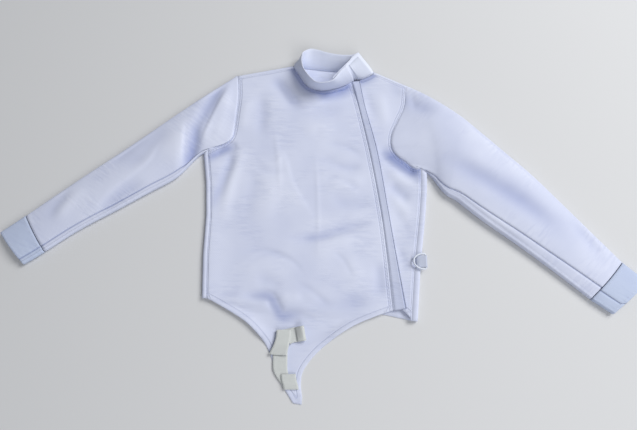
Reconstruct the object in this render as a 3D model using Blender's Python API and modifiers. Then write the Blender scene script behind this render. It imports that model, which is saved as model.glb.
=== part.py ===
"""Fencing jacket laid flat on its back, front up, collar towards +Y.

Every cloth piece is a thin wall.  The back lies on the ground and turns up over
soft rolls at the sides and shoulders; the two fronts lie on it; the sleeves are
flattened tubes that start at the armholes.  Tables are in millimetres, in a
working plan whose origin is on the chest; MM and CENTRE turn them into metres
round the middle of the footprint.
"""
import math

import bpy
import bmesh
import numpy as np
from mathutils import Vector
from mathutils.geometry import delaunay_2d_cdt

MM = 0.001
CENTRE = (0.55, 6.85)        # middle of the footprint in the working plan

# ---------------------------------------------------------------- driving sizes
WALL = 1.8                  # jacket cloth, two plies sewn as one
SEAM = 0.3                  # gap between pieces that are sewn together
ROLL = 4.2                  # radius of the soft roll at sides and shoulders
FLAT = WALL / 2             # middle of a wall that lies on the ground
TOP = FLAT + 2 * ROLL       # middle of the wall on top of a roll
REST = 4.9                  # middle of the fronts where they lie on the back
LEAST = FLAT + WALL + SEAM  # the lowest that a front may lie on the back
SPREAD = 30.0               # how far in from a roll the front sinks to REST
DROP = 26.0                 # how fast the tail sinks to the ground past the back's hem
ZIP_SPREAD = 30.0           # how far from the closing the fronts' folds fade out
FRONT_ROOM = 0.8            # the least that the fronts clear the back by, past the seam gap
GRID = 30.0                 # spacing of the facets inside a panel
EDGE = 22.0                 # spacing of the facets along a panel's edge
LEFT_GRID = 24.0            # spacing inside the narrow left front
BACK_GRID = 60.0            # spacing in the flat middle of the back
BACK_CLEAR = 25.0           # and how far that stays from the rows along its rolls
LINE_CLEAR = 0.8            # no point lies nearer than this to a panel's outline

SLEEVE_LEAD = 3.5           # length of sleeve that leaves the armhole straight
ARMPIT_SLANT = 0.8          # rise of the armpit's cut for each mm in from the side fold
ARMPIT_ROOM = 5.0           # times the seam gap, where the sleeve leaves the side fold aslant
SHOULDER_WRAP = 3.0         # cloth of the back past its roll, on the front side
SIDE_WRAP = {"right": 4.5, "left": 9.0}

# side folds of the body, wearer's right (-X) and wearer's left (+X): (y, x of the fold)
SIDE_FOLD = {
    "right": [(-187, -250), (-94, -254), (0, -253), (75, -258), (147, -268)],
    "left": [(-236, 210), (-112, 224), (0, 241), (60, 248), (98, 250)],
}
# ends of the shoulder folds: neck end, arm end
SHOULDER_FOLD = {
    "right": [(-62, 381), (-199, 353)],
    "left": [(136, 364), (216, 325)],
}
# front armholes from the shoulder down to the side, (x, y)
FRONT_ARMHOLE = {
    "right": [(-195, 300), (-198, 255), (-202, 212), (-208, 188), (-223, 175), (-243, 165)],
    "left": [(207, 270), (190, 230), (176, 196), (174, 168), (184, 145), (204, 127), (222, 111)],
}
# back armholes from the side up to the shoulder, (x, y)
BACK_ARMHOLE = {
    "right": [(-245, 158), (-222, 180), (-208, 215), (-203, 255), (-201, 300)],
    "left": [(226, 110), (205, 132), (192, 165), (192, 205), (202, 250), (210, 290)],
}
# hem of the right front with the tail that passes between the legs, (x, y)
HEM_SIDE = [(-212, -202), (-157, -235), (-122, -269), (-104, -297), (-88, -335), (-69, -374)]
TAIL_TIP = [(-52, -399), (-35, -402)]
HEM_FRONT = [(-34, -389), (-37, -360), (-29, -331), (7, -291), (69, -248), (132, -222)]
# the closing from the neck down: (x of the flap's seam, its y, x of the flap's edge, its y)
CLOSING = [
    (80, 336, 101, 337),
    (94, 278, 113, 268),
    (119, 150, 139, 150),
    (140, 9, 158, 9),
    (150, -94, 173, -104),
    (158, -214, 188, -210),
]
LEFT_EDGE = 0.66            # edge of the left front, as a part of the flap's width
ZIP_LINE = 0.42             # middle of the zip, as a part of the flap's width
FLAP_PARTS = (0.0, 0.07, 0.2, 0.64, 1.0)     # level to the second, raised from the third
FLAP_RISE = 2.3             # how far the flap is lifted over the zip
CLOSING_STEPS = 24          # stretches in a line down the closing
ZIP_STEPS = 26              # cross-sections of the zip
LEFT_HEM = [(192, -226)]    # a point of the left front's hem between its ends
BACK_HEM = [(-250, -187), (-130, -197), (0, -208), (120, -219), (210, -236)]

FOLD_FADE = 0.15            # share of a fold's length over which it fades, past each end and in
# largest folds of the fronts: (x0, y0, x1, y1, half width, rise)
BODY_FOLDS = [
    (-206, 172, -246, 0, 20, -3.5),      # trough from the right armpit down the side
    (-180, 170, -205, -20, 18, 3.0),     # ridge beside it
    (-110, 345, -60, 250, 22, -2.5),     # trough from the shoulder towards the chest
    (-70, 120, -20, 0, 24, 3.5),         # ridge across the middle
    (-60, -30, 110, 10, 14, -2.5),       # low trough at the waist
    (-150, -70, -40, -105, 16, 2.5),     # arc above the hem
    (195, 112, 240, 60, 14, 3.5),        # ridge below the left armpit
    (185, 115, 232, 108, 12, -4.5),      # hollow under the left sleeve
    (110, -90, 150, -190, 18, -2.0),     # soft dip beside the flap
]
# largest folds of the sleeves, same columns
SLEEVE_FOLDS = {
    "right": [
        (-206, 335, -276, 180, 9, 5.0),
        (-224, 335, -292, 180, 11, -5.0),
        (-300, 250, -420, 110, 18, 3.0),
        (-360, 90, -440, 20, 12, -2.5),
    ],
    "left": [
        (214, 306, 262, 262, 18, -6.0),
        (300, 180, 420, 30, 26, -5.0),
        (330, 215, 470, 60, 22, 3.0),
    ],
}
# sleeve sections from the armhole to the cuff:
# (x and y of the upper edge, x and y of the lower edge, height, radius of the edge rolls)
SLEEVE_ROWS = {
    "right": [
        (-216, 340, -283, 140, 15, 5.0),
        (-262, 307, -307, 111, 19, 5.5),
        (-325, 258, -322, 93, 21, 6.0),
        (-385, 210, -345, 76, 20, 6.0),
        (-445, 162, -385, 53, 19, 6.0),
        (-527, 99, -455, 11, 18, 6.0),
        (-600, 42, -535, -36, 17, 5.5),
        (-657, -4, -604, -85, 16, 5.5),
    ],
    "left": [
        (238, 313, 266, 85, 18, 5.5),
        (275, 290, 278, 64, 24, 7.0),
        (330, 250, 290, 47, 29, 8.0),
        (385, 197, 312, 33, 31, 8.5),
        (435, 147, 335, 13, 31, 8.5),
        (490, 92, 372, -18, 30, 8.0),
        (555, 17, 440, -70, 27, 7.2),
        (612, -50, 508, -125, 23, 6.5),
        (663, -110, 583, -189, 19, 6.0),
    ],
}
# cuff sections, same columns
CUFF_ROWS = {
    "right": [
        (-658.5, -4.8, -605.2, -86.2, 16.5, 5.8),
        (-684, -25, -626, -101, 17, 6.0),
        (-708, -43, -646, -114, 17, 6.0),
    ],
    "left": [
        (664.3, -111.4, 584.3, -190.4, 19.5, 6.2),
        (688, -133, 606, -206, 19, 6.2),
        (709, -153, 627, -221, 19, 6.2),
    ],
}
# the collar band from its under end round the back to its over end:
# (x, y of the neck edge, its level: 1 on the fronts and 0 on the back, x, y, z of the rim)
COLLAR_ROWS = [
    (48, 325.8, 1, 32, 320.5, 50),       # under end, inside the over end
    (66, 333.4, 1, 48, 341, 49),
    (86, 344.6, 1, 63.4, 359.4, 46),
    (104, 344.5, 1, 73, 374, 40),
    (120, 350, 1, 81, 387, 36.5),
    (130.6, 357, 1, 89, 397, 33.5),
    (134.4, 364.6, 0.5, 95.5, 403, 31),  # corner over the left shoulder
    (131.4, 362.8, 0, 96.5, 405, 28.5),
    (114, 366.5, 0, 91, 402.5, 27.5),
    (84, 367, 0, 78, 399, 28),
    (50, 368.5, 0, 50, 400, 28),
    (20, 371, 0, 20, 406, 28),
    (0, 373.5, 0, 0, 413, 28),
    (-26, 377, 0, -20, 415, 30),
    (-48, 379.5, 0, -36, 401, 38),
    (-57.8, 379.2, 0, -39, 389, 43),
    (-60.3, 381.3, 0.5, -40, 377, 46),   # corner over the right shoulder
    (-57.5, 373, 1, -39, 363, 48),
    (-47, 356, 1, -35, 347, 50),
    (-31, 331, 1, -22, 326, 52),
    (-13, 319, 1, -6, 311, 52),
    (13, 315, 1, 14, 309, 52),
    (45, 321.5, 1, 34, 316, 52),
    (66, 329.5, 1, 50, 337, 52),
    (86, 340.5, 1, 66, 355, 50),         # over end
]
COLLAR_SPLIT = 2            # facets between two rows of the collar
COLLAR_BOW = 0.6            # how far the band bellies out between neck and rim
LEAN_ROOM = 0.4             # more room in plan where the band leans over the fronts
COLLAR_LEAN = 1.5           # above 1 the band stands up at the neck and leans higher up
CORNER_LEFT = 6             # row at the left shoulder
CORNER_RIGHT = 16           # row at the right shoulder
PATCH_SPAN = (3, 5)         # rows of the collar between which the patch lies
PATCH_BAND = (0.16, 0.80)   # from neck edge to rim
PATCH_THICK = 1.0

# crotch strap: (x, y, z of the middle, direction across in degrees, stretch, lift of the far edge)
STRAP_WIDE = 30.0
STRAP_THICK = 1.3
STRAP_ROWS = [
    (-62, -343, 6.0, 180, 1, 0),         # sewn end, on top
    (-61, -353, 6.0, 180, 1, 0),
    (-58, -363, 5.8, 180, 1, 0),
    (-56, -371, 5.4, 180, 1, 0),
    (-56, -372.6, 4.2, 180, 1, 0),       # folds under itself
    (-57, -371, 3.0, 180, 1, 0),
    (-63, -362, 3.0, 172, 1, 0),
    (-73, -350, 3.0, 168, 1, 0),
    (-79, -336, 3.0, 175, 1, 0),
    (-80, -322, 3.0, 180, 1, 0),
    (-80, -306, 3.0, 180, 1, 0),
    (-80, -291, 3.0, 180, 1, 0),
    (-80, -289.6, 4.0, 180, 1, 0),       # folds back, hidden
    (-80, -291, 5.1, 180, 1, 0),
    (-81, -303, 5.3, 180, 1, 0),
    (-81, -304.6, 6.4, 180, 1, 0),       # folds up again
    (-81, -303, 7.5, 180, 1, 0),
    (-79, -293, 7.9, 180, 1, 0),
    (-76, -282, 8.2, 180, 1, 0),
    (-74, -269, 8.6, 180, 1, 0),
    (-73, -256, 8.6, 180, 1, 0),
    (-73, -254.5, 7.5, 180, 1, 0),       # folds under at the top
    (-73, -256, 6.4, 180, 1, 0),
    (-73, -269, 6.2, 140, 1.305, 0),
    (-72.2, -270, 5.1, 140, 1.305, 0),   # and turns off to the side
    (-73, -269, 4.0, 140, 1.305, 0),
    (-55, -265, 3.9, 100, 1, 0),
    (-46, -263.5, 3.9, 100, 1, 1),
    (-36, -262, 4.2, 100, 1, 4),
    (-29.5, -261, 6.2, 100, 1, 6),       # looped end
    (-29, -261, 8.6, 100, 1, 6),
    (-33, -261.5, 10.4, 100, 1, 6),
    (-39, -262.5, 9.0, 100, 1, 4),
    (-46, -263.5, 6.2, 100, 1, 1.5),
]

# ring and its tab at the left side
RING_Y = -109.0
RING_BAR = (234.0, 12.4)    # x and z of the bar's axis
RING_HALF = 17.0            # half the length of the bar's axis
RING_REACH = 27.0           # from the bar's axis to the far side of the bow
RING_STOCK = 2.0            # radius of the stock
RING_LIFT = 4.6             # how much higher the bow lies than the bar
RING_CORNER = 3.5
TAB_WIDE = 26.0
TAB_THICK = 1.0
TAB_START = 214.0           # x of the side seam that the tab is caught in
TAB_LEVELS = (11.1, 12.6)   # under and upper layer at the seam
TAB_PLAY = 0.5              # clearance round the bar
TAB_TURN = 1.75             # radians either way that the tape wraps round the bar

ZIP_TAPE = (13.0, 0.4)      # half width, half thickness
ZIP_CHAIN = (2.6, 1.1)
ZIP_DEPTH = 1.6             # middle of the tape below the middle of the fronts
ZIP_ENDS = (22.0, 4.0)      # how far the zip stops short of neck and hem
SLIDER = (7.0, 10.0, 4.2)   # width, length and thickness of the slider
PULL = (4.6, 17.0, 1.2)     # the same of its pull, which lies down over the chain
SLIDER_LIFT = 0.6           # middle of the slider above the middle of the tape
PULL_LIFT = 2.3             # middle of the pull above the same
PULL_ROOT = 3.0             # length of the pull inside the slider
SLIDER_Y = 312.0            # middle of the swelling that both make in the flap
SLIDER_BUMP = 1.1           # that swelling, as a part of the flap's rise
SLIDER_SPREAD = 22.0

CLOTH = ("jacket_cloth", (0.80, 0.84, 0.92), 0.85)
FLAP_CLOTH = ("flap_cloth", (0.76, 0.80, 0.87), 0.85)
ELASTIC = ("woven_elastic", (0.80, 0.83, 0.80), 0.9)
HOOK_TAPE = ("hook_and_loop_tape", (0.82, 0.85, 0.90), 0.95)
ZIP_METAL = ("painted_zip_metal", (0.78, 0.80, 0.85), 0.45)
ZIP_NYLON = ("zip_nylon", (0.72, 0.74, 0.80), 0.6)
RING_PLASTIC = ("moulded_plastic", (0.85, 0.87, 0.90), 0.4)


# ---------------------------------------------------------------- plan geometry
def smooth_line(points, step=None, count=None):
    """Points evenly spaced along a smooth curve through the given points."""
    pts = np.array(points, float)
    ends = np.vstack([2 * pts[0] - pts[1], pts, 2 * pts[-1] - pts[-2]])
    t = np.linspace(0, 1, 24, endpoint=False)[:, None]
    spans = []
    for a, b, c, d in zip(ends, ends[1:], ends[2:], ends[3:]):
        spans.append(0.5 * (2 * b + (c - a) * t + (2 * a - 5 * b + 4 * c - d) * t ** 2
                            + (3 * b - a - 3 * c + d) * t ** 3))
    fine = np.vstack(spans + [pts[-1:]])
    run = np.append(0, np.cumsum(np.linalg.norm(np.diff(fine, axis=0), axis=1)))
    if count is None:
        count = max(1, round(run[-1] / step))
    at = np.linspace(0, run[-1], count + 1)
    return np.column_stack([np.interp(at, run, column) for column in fine.T])


def normals_of(line):
    """Unit plan normals to the right of a line's direction."""
    along = np.gradient(line[:, :2], axis=0)
    along /= np.linalg.norm(along, axis=1)[:, None]
    return np.column_stack([along[:, 1], -along[:, 0]])


def joined(*lines):
    """One closed outline from lines that follow each other, without repeated corners."""
    points = []
    for line in lines:
        for point in line:
            if not points or np.linalg.norm(np.subtract(point[:2], points[-1])) > 0.5:
                points.append(tuple(point[:2]))
    if np.linalg.norm(np.subtract(points[0], points[-1])) < 0.5:
        points.pop()
    return np.array(points)


def distance(x, y, line):
    """Distance from each point to a line of straight stretches."""
    best = np.full(np.shape(x), 1e9)
    for (ax, ay), (bx, by) in zip(line[:-1], line[1:]):
        dx, dy = bx - ax, by - ay
        t = np.clip(((x - ax) * dx + (y - ay) * dy) / (dx * dx + dy * dy), 0, 1)
        best = np.minimum(best, np.hypot(x - ax - t * dx, y - ay - t * dy))
    return best


def inside(x, y, outline):
    """Which points lie inside a closed outline."""
    found = np.zeros(np.shape(x), bool)
    for (ax, ay), (bx, by) in zip(outline, np.roll(outline, -1, axis=0)):
        crosses = (ay > y) != (by > y)
        found ^= crosses & (x < (bx - ax) * (y - ay) / (by - ay + 1e-12) + ax)
    return found


def fill(outline, grid):
    """Points and triangles that cover an outline, on a staggered grid inside it."""
    low, high = outline.min(axis=0), outline.max(axis=0)
    rows = np.arange(low[1] + grid / 2, high[1], grid * 0.866)
    xs, ys = [], []
    for number, y in enumerate(rows):
        row = np.arange(low[0] + (number % 2) * grid / 2, high[0], grid)
        xs.extend(row)
        ys.extend([y] * len(row))
    xs, ys = np.array(xs), np.array(ys)
    closed = np.vstack([outline, outline[:1]])
    keep = inside(xs, ys, outline) & (distance(xs, ys, closed) > grid * 0.45)
    points = [Vector(p) for p in outline] + [Vector(p) for p in zip(xs[keep], ys[keep])]
    count = len(outline)
    edges = [(i, (i + 1) % count) for i in range(count)]
    verts, _, faces, *_ = delaunay_2d_cdt(points, edges, [], 1, 1e-6)
    return np.array([v[:] for v in verts]), faces


# ---------------------------------------------------------------- body folds and heights
def fold_x(side, y):
    """X of the body's side fold at a height in the plan."""
    table = np.array(SIDE_FOLD[side], float)
    return np.interp(y, table[:, 0], table[:, 1])


def out_of(side):
    """Direction in X in which a side faces."""
    return -1.0 if side == "right" else 1.0


def seam_levels(side):
    """Y of the points along a side seam, hem to armpit."""
    ys = smooth_line(SIDE_FOLD[side], EDGE)[:, 0]
    return np.append(ys, ys[-1] + ARMPIT_SLANT * (ROLL + SIDE_WRAP[side]))


def side_seam(side, gap=0.0):
    """Plan line of a side seam on the front, hem to armpit."""
    ys = seam_levels(side)
    inset = ROLL + SIDE_WRAP[side] + gap
    return np.column_stack([fold_x(side, ys) - out_of(side) * inset, ys])


def shoulder_frame(side):
    """Neck end, direction to the arm, outward normal and length of a shoulder's tangent line."""
    neck, arm = (np.array(p, float) for p in SHOULDER_FOLD[side])
    along = arm - neck
    length = np.linalg.norm(along)
    along /= length
    normal = np.array([-along[1], along[0]])
    if normal[1] < 0:
        normal = -normal
    return neck - normal * ROLL, along, normal, length


def shoulder_seam(side, gap=0.0):
    """Plan line of a shoulder seam on the front, neck to arm."""
    start, along, normal, length = shoulder_frame(side)
    start = start - normal * (SHOULDER_WRAP + gap)
    return smooth_line([start, start + along * length], EDGE)


def front_armhole(side):
    """Plan line of the front armhole, shoulder seam to side seam."""
    first = shoulder_seam(side, SEAM)[-1]
    last = side_seam(side, SEAM)[-1]
    return smooth_line([first] + FRONT_ARMHOLE[side] + [last], count=FRONT_STEPS)


def back_armhole(side):
    """Plan line of the back armhole, side to shoulder, between the two tangent lines."""
    y = SIDE_FOLD[side][-1][0]
    first = (fold_x(side, y) - out_of(side) * ROLL, y + ARMPIT_SLANT * ROLL)
    start, along, _, length = shoulder_frame(side)
    return smooth_line([first] + BACK_ARMHOLE[side] + [start + along * length], count=BACK_STEPS)


def relief(x, y, folds):
    """Sum of soft ridges and troughs: gaussian across, faded at both ends."""
    total = np.zeros(np.shape(x))
    for x0, y0, x1, y1, half, rise in folds:
        dx, dy = x1 - x0, y1 - y0
        t = ((x - x0) * dx + (y - y0) * dy) / (dx * dx + dy * dy)
        ends = np.minimum(t + FOLD_FADE, 1 + FOLD_FADE - t) / (2 * FOLD_FADE)
        ends = np.clip(ends, 0, 1)
        across = ((x - x0) * dy - (y - y0) * dx) / math.hypot(dx, dy)
        total += rise * ends * ends * (3 - 2 * ends) * np.exp(-(across / half) ** 2)
    return total


def back_hem_y(x):
    table = np.array(BACK_HEM, float)
    return np.interp(x, table[:, 0], table[:, 1])


def lie(x, y):
    """Height of the middle of the fronts' cloth."""
    x, y = np.asarray(x, float), np.asarray(y, float)
    edge = np.zeros(x.shape)
    for side in ("right", "left"):
        for line in (side_seam(side), shoulder_seam(side)):
            edge = np.maximum(edge, np.exp(-(distance(x, y, line) / SPREAD) ** 2))
    near_zip = np.exp(-(distance(x, y, np.array(CLOSING, float)[:, :2]) / ZIP_SPREAD) ** 2)
    least = LEAST + FRONT_ROOM
    floor = least + (REST - least) * near_zip
    rest = REST + relief(x, y, BODY_FOLDS) * (1 - near_zip)
    height = np.maximum(rest * (1 - edge) + TOP * edge, floor)
    past = np.clip((back_hem_y(x) - y) / DROP, 0, 1)
    return height + (FLAT - height) * past * past * (3 - 2 * past)


def wrapped(x, y):
    """Place of a point of the back's pattern once its edges are turned up and over."""
    places = []
    for px, py in zip(x, y):
        spot = [px, py, FLAT]
        beyond, base, normal = 0.0, np.array([px, py]), np.zeros(2)
        for side in ("right", "left"):
            tangent = fold_x(side, py) - out_of(side) * ROLL
            reach = (px - tangent) * out_of(side)
            top = SIDE_FOLD[side][-1][0] + ARMPIT_SLANT * (ROLL + SIDE_WRAP[side]) + 1
            if py <= top and reach > beyond:
                beyond, base, normal = reach, np.array([tangent, py]), np.array([out_of(side), 0])
            start, along, outward, length = shoulder_frame(side)
            offset = np.array([px, py]) - start
            reach = offset @ outward
            if -1 < offset @ along < length + 1 and reach > beyond:
                beyond, base, normal = reach, start + along * (offset @ along), outward
        if beyond > 0:
            angle = min(beyond / ROLL, math.pi)
            past = max(0.0, beyond - math.pi * ROLL)
            flat = base + normal * (ROLL * math.sin(angle) - past)
            spot = [flat[0], flat[1], FLAT + ROLL * (1 - math.cos(angle))]
        places.append(spot)
    return np.array(places)


# ---------------------------------------------------------------- mesh helpers
def material(kind):
    """Principled material of one of the jacket's stuffs."""
    name, colour, rough = kind
    found = bpy.data.materials.get(name)
    if found is None:
        found = bpy.data.materials.new(name)
        found.use_nodes = True
        shader = found.node_tree.nodes["Principled BSDF"]
        shader.inputs["Base Color"].default_value = (*colour, 1)
        shader.inputs["Roughness"].default_value = rough
        shader.inputs["Metallic"].default_value = 0
        found.diffuse_color = (*colour, 1)
    return found


def add_object(name, points, faces, kind, thickness=None):
    """Mesh object from working-plan points; a thickness makes the sheet a wall."""
    shifted = (np.array(points) - (CENTRE[0], CENTRE[1], 0)) * MM
    mesh = bpy.data.meshes.new(name)
    mesh.from_pydata([tuple(p) for p in shifted], [], [tuple(f) for f in faces])
    mesh.update()
    mesh.shade_smooth()
    obj = bpy.data.objects.new(name, mesh)
    COLLECTION.objects.link(obj)
    mesh.materials.append(material(kind))
    if thickness:
        wall = obj.modifiers.new("wall", "SOLIDIFY")
        wall.thickness = thickness * MM
        wall.offset = 0
    return obj


def panel(name, outline, grid, place, kind=CLOTH):
    """A cut panel: its outline filled with a grid and laid at the heights that place gives."""
    plan, faces = fill(outline, grid)
    return add_object(name, place(plan[:, 0], plan[:, 1]), faces, kind, WALL)


def on_front(x, y):
    return np.column_stack([x, y, lie(x, y)])


def bridge(rings, closed):
    """Quads between rows of points; closed joins each row's last point to its first."""
    size = len(rings[0])
    steps = size if closed else size - 1
    faces = []
    for row in range(len(rings) - 1):
        for i in range(steps):
            j = (i + 1) % size
            a, b = row * size, (row + 1) * size
            faces.append((a + i, a + j, b + j, b + i))
    return np.vstack(rings), faces


def loft(rings, splits):
    """Rings with smooth ones added between them, splits facets to a span."""
    rings = np.array(rings, float)
    ends = np.concatenate([[2 * rings[0] - rings[1]], rings, [2 * rings[-1] - rings[-2]]])
    result = []
    for number, split in enumerate(splits):
        a, b, c, d = ends[number:number + 4]
        for t in np.linspace(0, 1, split, endpoint=False):
            result.append(0.5 * (2 * b + (c - a) * t + (2 * a - 5 * b + 4 * c - d) * t ** 2
                                 + (3 * b - a - 3 * c + d) * t ** 3))
    result.append(rings[-1])
    return result


# ---------------------------------------------------------------- body panels
def closing_line(part):
    """Line at a part of the flap's width, neck to hem."""
    table = np.array(CLOSING, float)
    line = table[:, :2] * (1 - part) + table[:, 2:] * part
    return smooth_line(line, count=CLOSING_STEPS)


def collar_surface():
    """Rows of points from neck edge to rim along the whole collar band."""
    table = np.array(COLLAR_ROWS, float)
    table[:, 2] = FLAT + (lie(table[:, 0], table[:, 1]) - FLAT) * table[:, 2]
    spans = loft(table, [COLLAR_SPLIT] * (len(table) - 1))
    rows = []
    for row in spans:
        neck, rim = row[:3], row[3:]
        rows.append((neck, rim))
    necks = np.array([row[0] for row in rows])
    outward = normals_of(necks)
    result = []
    for (neck, rim), normal in zip(rows, outward):
        bow = np.array([normal[0], normal[1], 0]) * COLLAR_BOW
        column = []
        for v in (0, 0.25, 0.5, 0.75, 1):
            point = neck * (1 - v) + rim * v
            point[:2] = neck[:2] + (rim[:2] - neck[:2]) * v ** COLLAR_LEAN
            column.append(point + bow * 4 * v * (1 - v))
        result.append(column)
    return np.array(result)


def neckline(first, last, sign=1):
    """Plan line beside the collar's neck edge, outside it, or inside it with sign -1."""
    neck = collar_surface()[:, 0]
    beside = neck[:, :2] + normals_of(neck) * sign * (WALL / 2 + SEAM + LEAN_ROOM)
    return beside[first * COLLAR_SPLIT:last * COLLAR_SPLIT + 1]


def build_back():
    flange = math.pi * ROLL
    lines = [smooth_line([(fold_x("right", -187) + ROLL, -187)] + BACK_HEM[1:-1]
                         + [(fold_x("left", -236) - ROLL, -236)], GRID)]
    for side in ("left", "right"):
        ys = seam_levels(side)
        tangent = fold_x(side, ys) - out_of(side) * ROLL
        seam = np.column_stack([tangent + out_of(side) * (flange + SIDE_WRAP[side]), ys])
        start, along, normal, length = shoulder_frame(side)
        top = start + normal * (flange + SHOULDER_WRAP)
        shoulder = smooth_line([top + along * length, top], EDGE)
        parts = [across(side, ys[0]), seam,
                 across(side, SIDE_FOLD[side][-1][0], ARMPIT_SLANT)[::-1],
                 back_armhole(side),
                 strip_points(start + along * length, normal, SHOULDER_WRAP),
                 shoulder,
                 strip_points(start, normal, SHOULDER_WRAP)[::-1]]
        if side == "left":
            lines += parts
            lines.append(neckline(CORNER_LEFT + 2, CORNER_RIGHT - 2, -1))
        else:
            lines += [part[::-1] for part in parts[::-1]]
    outline = joined(*lines)
    return back_mesh(outline)


def across(side, y, slant=0.0):
    """Pattern points from a side's tangent line out over the roll to the seam."""
    reach = np.append(np.linspace(0, math.pi * ROLL, ROLL_STEPS + 2),
                      math.pi * ROLL + SIDE_WRAP[side])
    inset = ROLL * (1 - np.sin(np.minimum(reach / ROLL, math.pi)))
    inset = inset + np.maximum(0, reach - math.pi * ROLL)
    tangent = fold_x(side, y) - out_of(side) * ROLL
    return np.column_stack([tangent + out_of(side) * reach, y + slant * inset])


def strip_points(start, normal, wrap):
    """The same for a shoulder, from a point of its tangent line."""
    reach = np.append(np.linspace(0, math.pi * ROLL, ROLL_STEPS + 2), math.pi * ROLL + wrap)
    return start + reach[:, None] * normal


def back_mesh(outline):
    """The back is filled with rows of points along its rolls and a sparse flat middle."""
    closed = np.vstack([outline, outline[:1]])
    extra = []
    for side in ("right", "left"):
        for y in smooth_line(SIDE_FOLD[side], EDGE)[1:-1, 0]:
            extra.extend(across(side, y)[:-1])
        start, along, normal, length = shoulder_frame(side)
        for at in smooth_line([(0, 0), (length, 0)], EDGE)[1:-1, 0]:
            extra.extend(strip_points(start + along * at, normal, SHOULDER_WRAP)[:-1])
    extra = np.array(extra)
    middle = fill(outline, BACK_GRID)[0][len(outline):]
    near = np.array([np.min(np.hypot(*(extra - m).T)) for m in middle])
    extra = np.vstack([extra, middle[near > BACK_CLEAR]])
    x, y = extra.T
    keep = inside(x, y, outline) & (distance(x, y, closed) > LINE_CLEAR)
    points = [Vector(p) for p in outline] + [Vector(p) for p in extra[keep]]
    count = len(outline)
    edges = [(i, (i + 1) % count) for i in range(count)]
    verts, _, faces, *_ = delaunay_2d_cdt(points, edges, [], 1, 1e-6)
    plan = np.array([v[:] for v in verts])
    return add_object("back", wrapped(plan[:, 0], plan[:, 1]), faces, CLOTH, WALL)


def build_fronts():
    seam_line = closing_line(0.0)
    hem_left = side_seam("right", SEAM)[0]
    hem = np.vstack([
        smooth_line([hem_left] + HEM_SIDE, EDGE),
        smooth_line(TAIL_TIP, EDGE),
        smooth_line(HEM_FRONT + [tuple(seam_line[-1])], EDGE),
    ])
    outline = joined(hem, seam_line[::-1],
                     neckline(CORNER_RIGHT + 1, len(COLLAR_ROWS) - 2)[::-1],
                     shoulder_seam("right", SEAM), front_armhole("right"),
                     side_seam("right", SEAM)[::-1])
    panel("front_right", outline, GRID, on_front)

    edge = closing_line(LEFT_EDGE)
    side = side_seam("left", SEAM)
    outline = joined(smooth_line([edge[-1]] + LEFT_HEM + [side[0]], EDGE), side,
                     front_armhole("left")[::-1], shoulder_seam("left", SEAM)[::-1],
                     neckline(3, CORNER_LEFT - 1)[::-1], edge)
    panel("front_left", outline, LEFT_GRID, on_front)


def build_flap():
    """Strip from the flap's seam out over the zip to its free edge."""
    rows = []
    for part in FLAP_PARTS:
        line = closing_line(part)
        rise = FLAP_RISE * min(1.0, max(0.0, (part - FLAP_PARTS[1]) / (FLAP_PARTS[2] - FLAP_PARTS[1])))
        bump = SLIDER_BUMP * np.exp(-((line[:, 1] - SLIDER_Y) / SLIDER_SPREAD) ** 2)
        rows.append(np.column_stack([line, lie(*line.T) + rise * (1 + bump)]))
    seam = closing_line(0.0)
    shift = -normals_of(seam) * SEAM
    rows[0][:, :2] += shift
    points, faces = bridge(rows, closed=False)
    add_object("zip_flap", points, faces, FLAP_CLOTH, WALL)


def build_zip():
    """Closed zip: two tapes with the chain between, one section swept down the closing."""
    line = closing_line(ZIP_LINE)
    run = np.append(0, np.cumsum(np.linalg.norm(np.diff(line, axis=0), axis=1)))
    at = np.linspace(ZIP_ENDS[0], run[-1] - ZIP_ENDS[1], ZIP_STEPS)
    line = np.column_stack([np.interp(at, run, column) for column in line.T])
    out = -normals_of(line)
    tape_half, tape_thick = ZIP_TAPE
    chain_half, chain_thick = ZIP_CHAIN
    section = []
    for sign in (-1, 1):
        side = [(-tape_half, tape_thick), (-chain_half, tape_thick), (-chain_half, chain_thick),
                (chain_half, chain_thick), (chain_half, tape_thick), (tape_half, tape_thick)]
        section += [(u * -sign, z * sign) for u, z in side]
    rings = []
    for point, normal in zip(line, out):
        ring = [(*(point + normal * u), lie(*(point + normal * u)) - ZIP_DEPTH + z) for u, z in section]
        rings.append(np.array(ring, float))
    points, faces = bridge(rings, closed=True)
    size, last = len(section), (len(rings) - 1) * len(section)
    faces.append(tuple(range(size))[::-1])
    faces.append(tuple(last + i for i in range(size)))
    obj = add_object("zip", points, faces, ZIP_NYLON)
    face_out(obj)


def build_slider():
    """Slider at the top of the chain, with its pull lying down on the chain, in one piece."""
    line = closing_line(ZIP_LINE)
    along = (line[1] - line[0]) / np.linalg.norm(line[1] - line[0])
    middle = line[0] + along * (ZIP_ENDS[0] - SEAM - SLIDER[1] / 2)
    level = float(lie(*middle)) - ZIP_DEPTH
    turn = math.atan2(along[1], along[0]) + math.pi / 2
    body = block("zip_slider", SLIDER, (*middle, level + SLIDER_LIFT), turn, COLLECTION)
    reach = SLIDER[1] / 2 + PULL[1] / 2 - PULL_ROOT
    pull = block("slider_pull", PULL, (*(middle + along * reach), level + PULL_LIFT), turn, CUTTERS)
    join = body.modifiers.new("pull", "BOOLEAN")
    join.operation = "UNION"
    join.solver = "EXACT"
    join.object = pull
    pull.hide_render = True
    pull.display_type = "WIRE"


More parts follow.
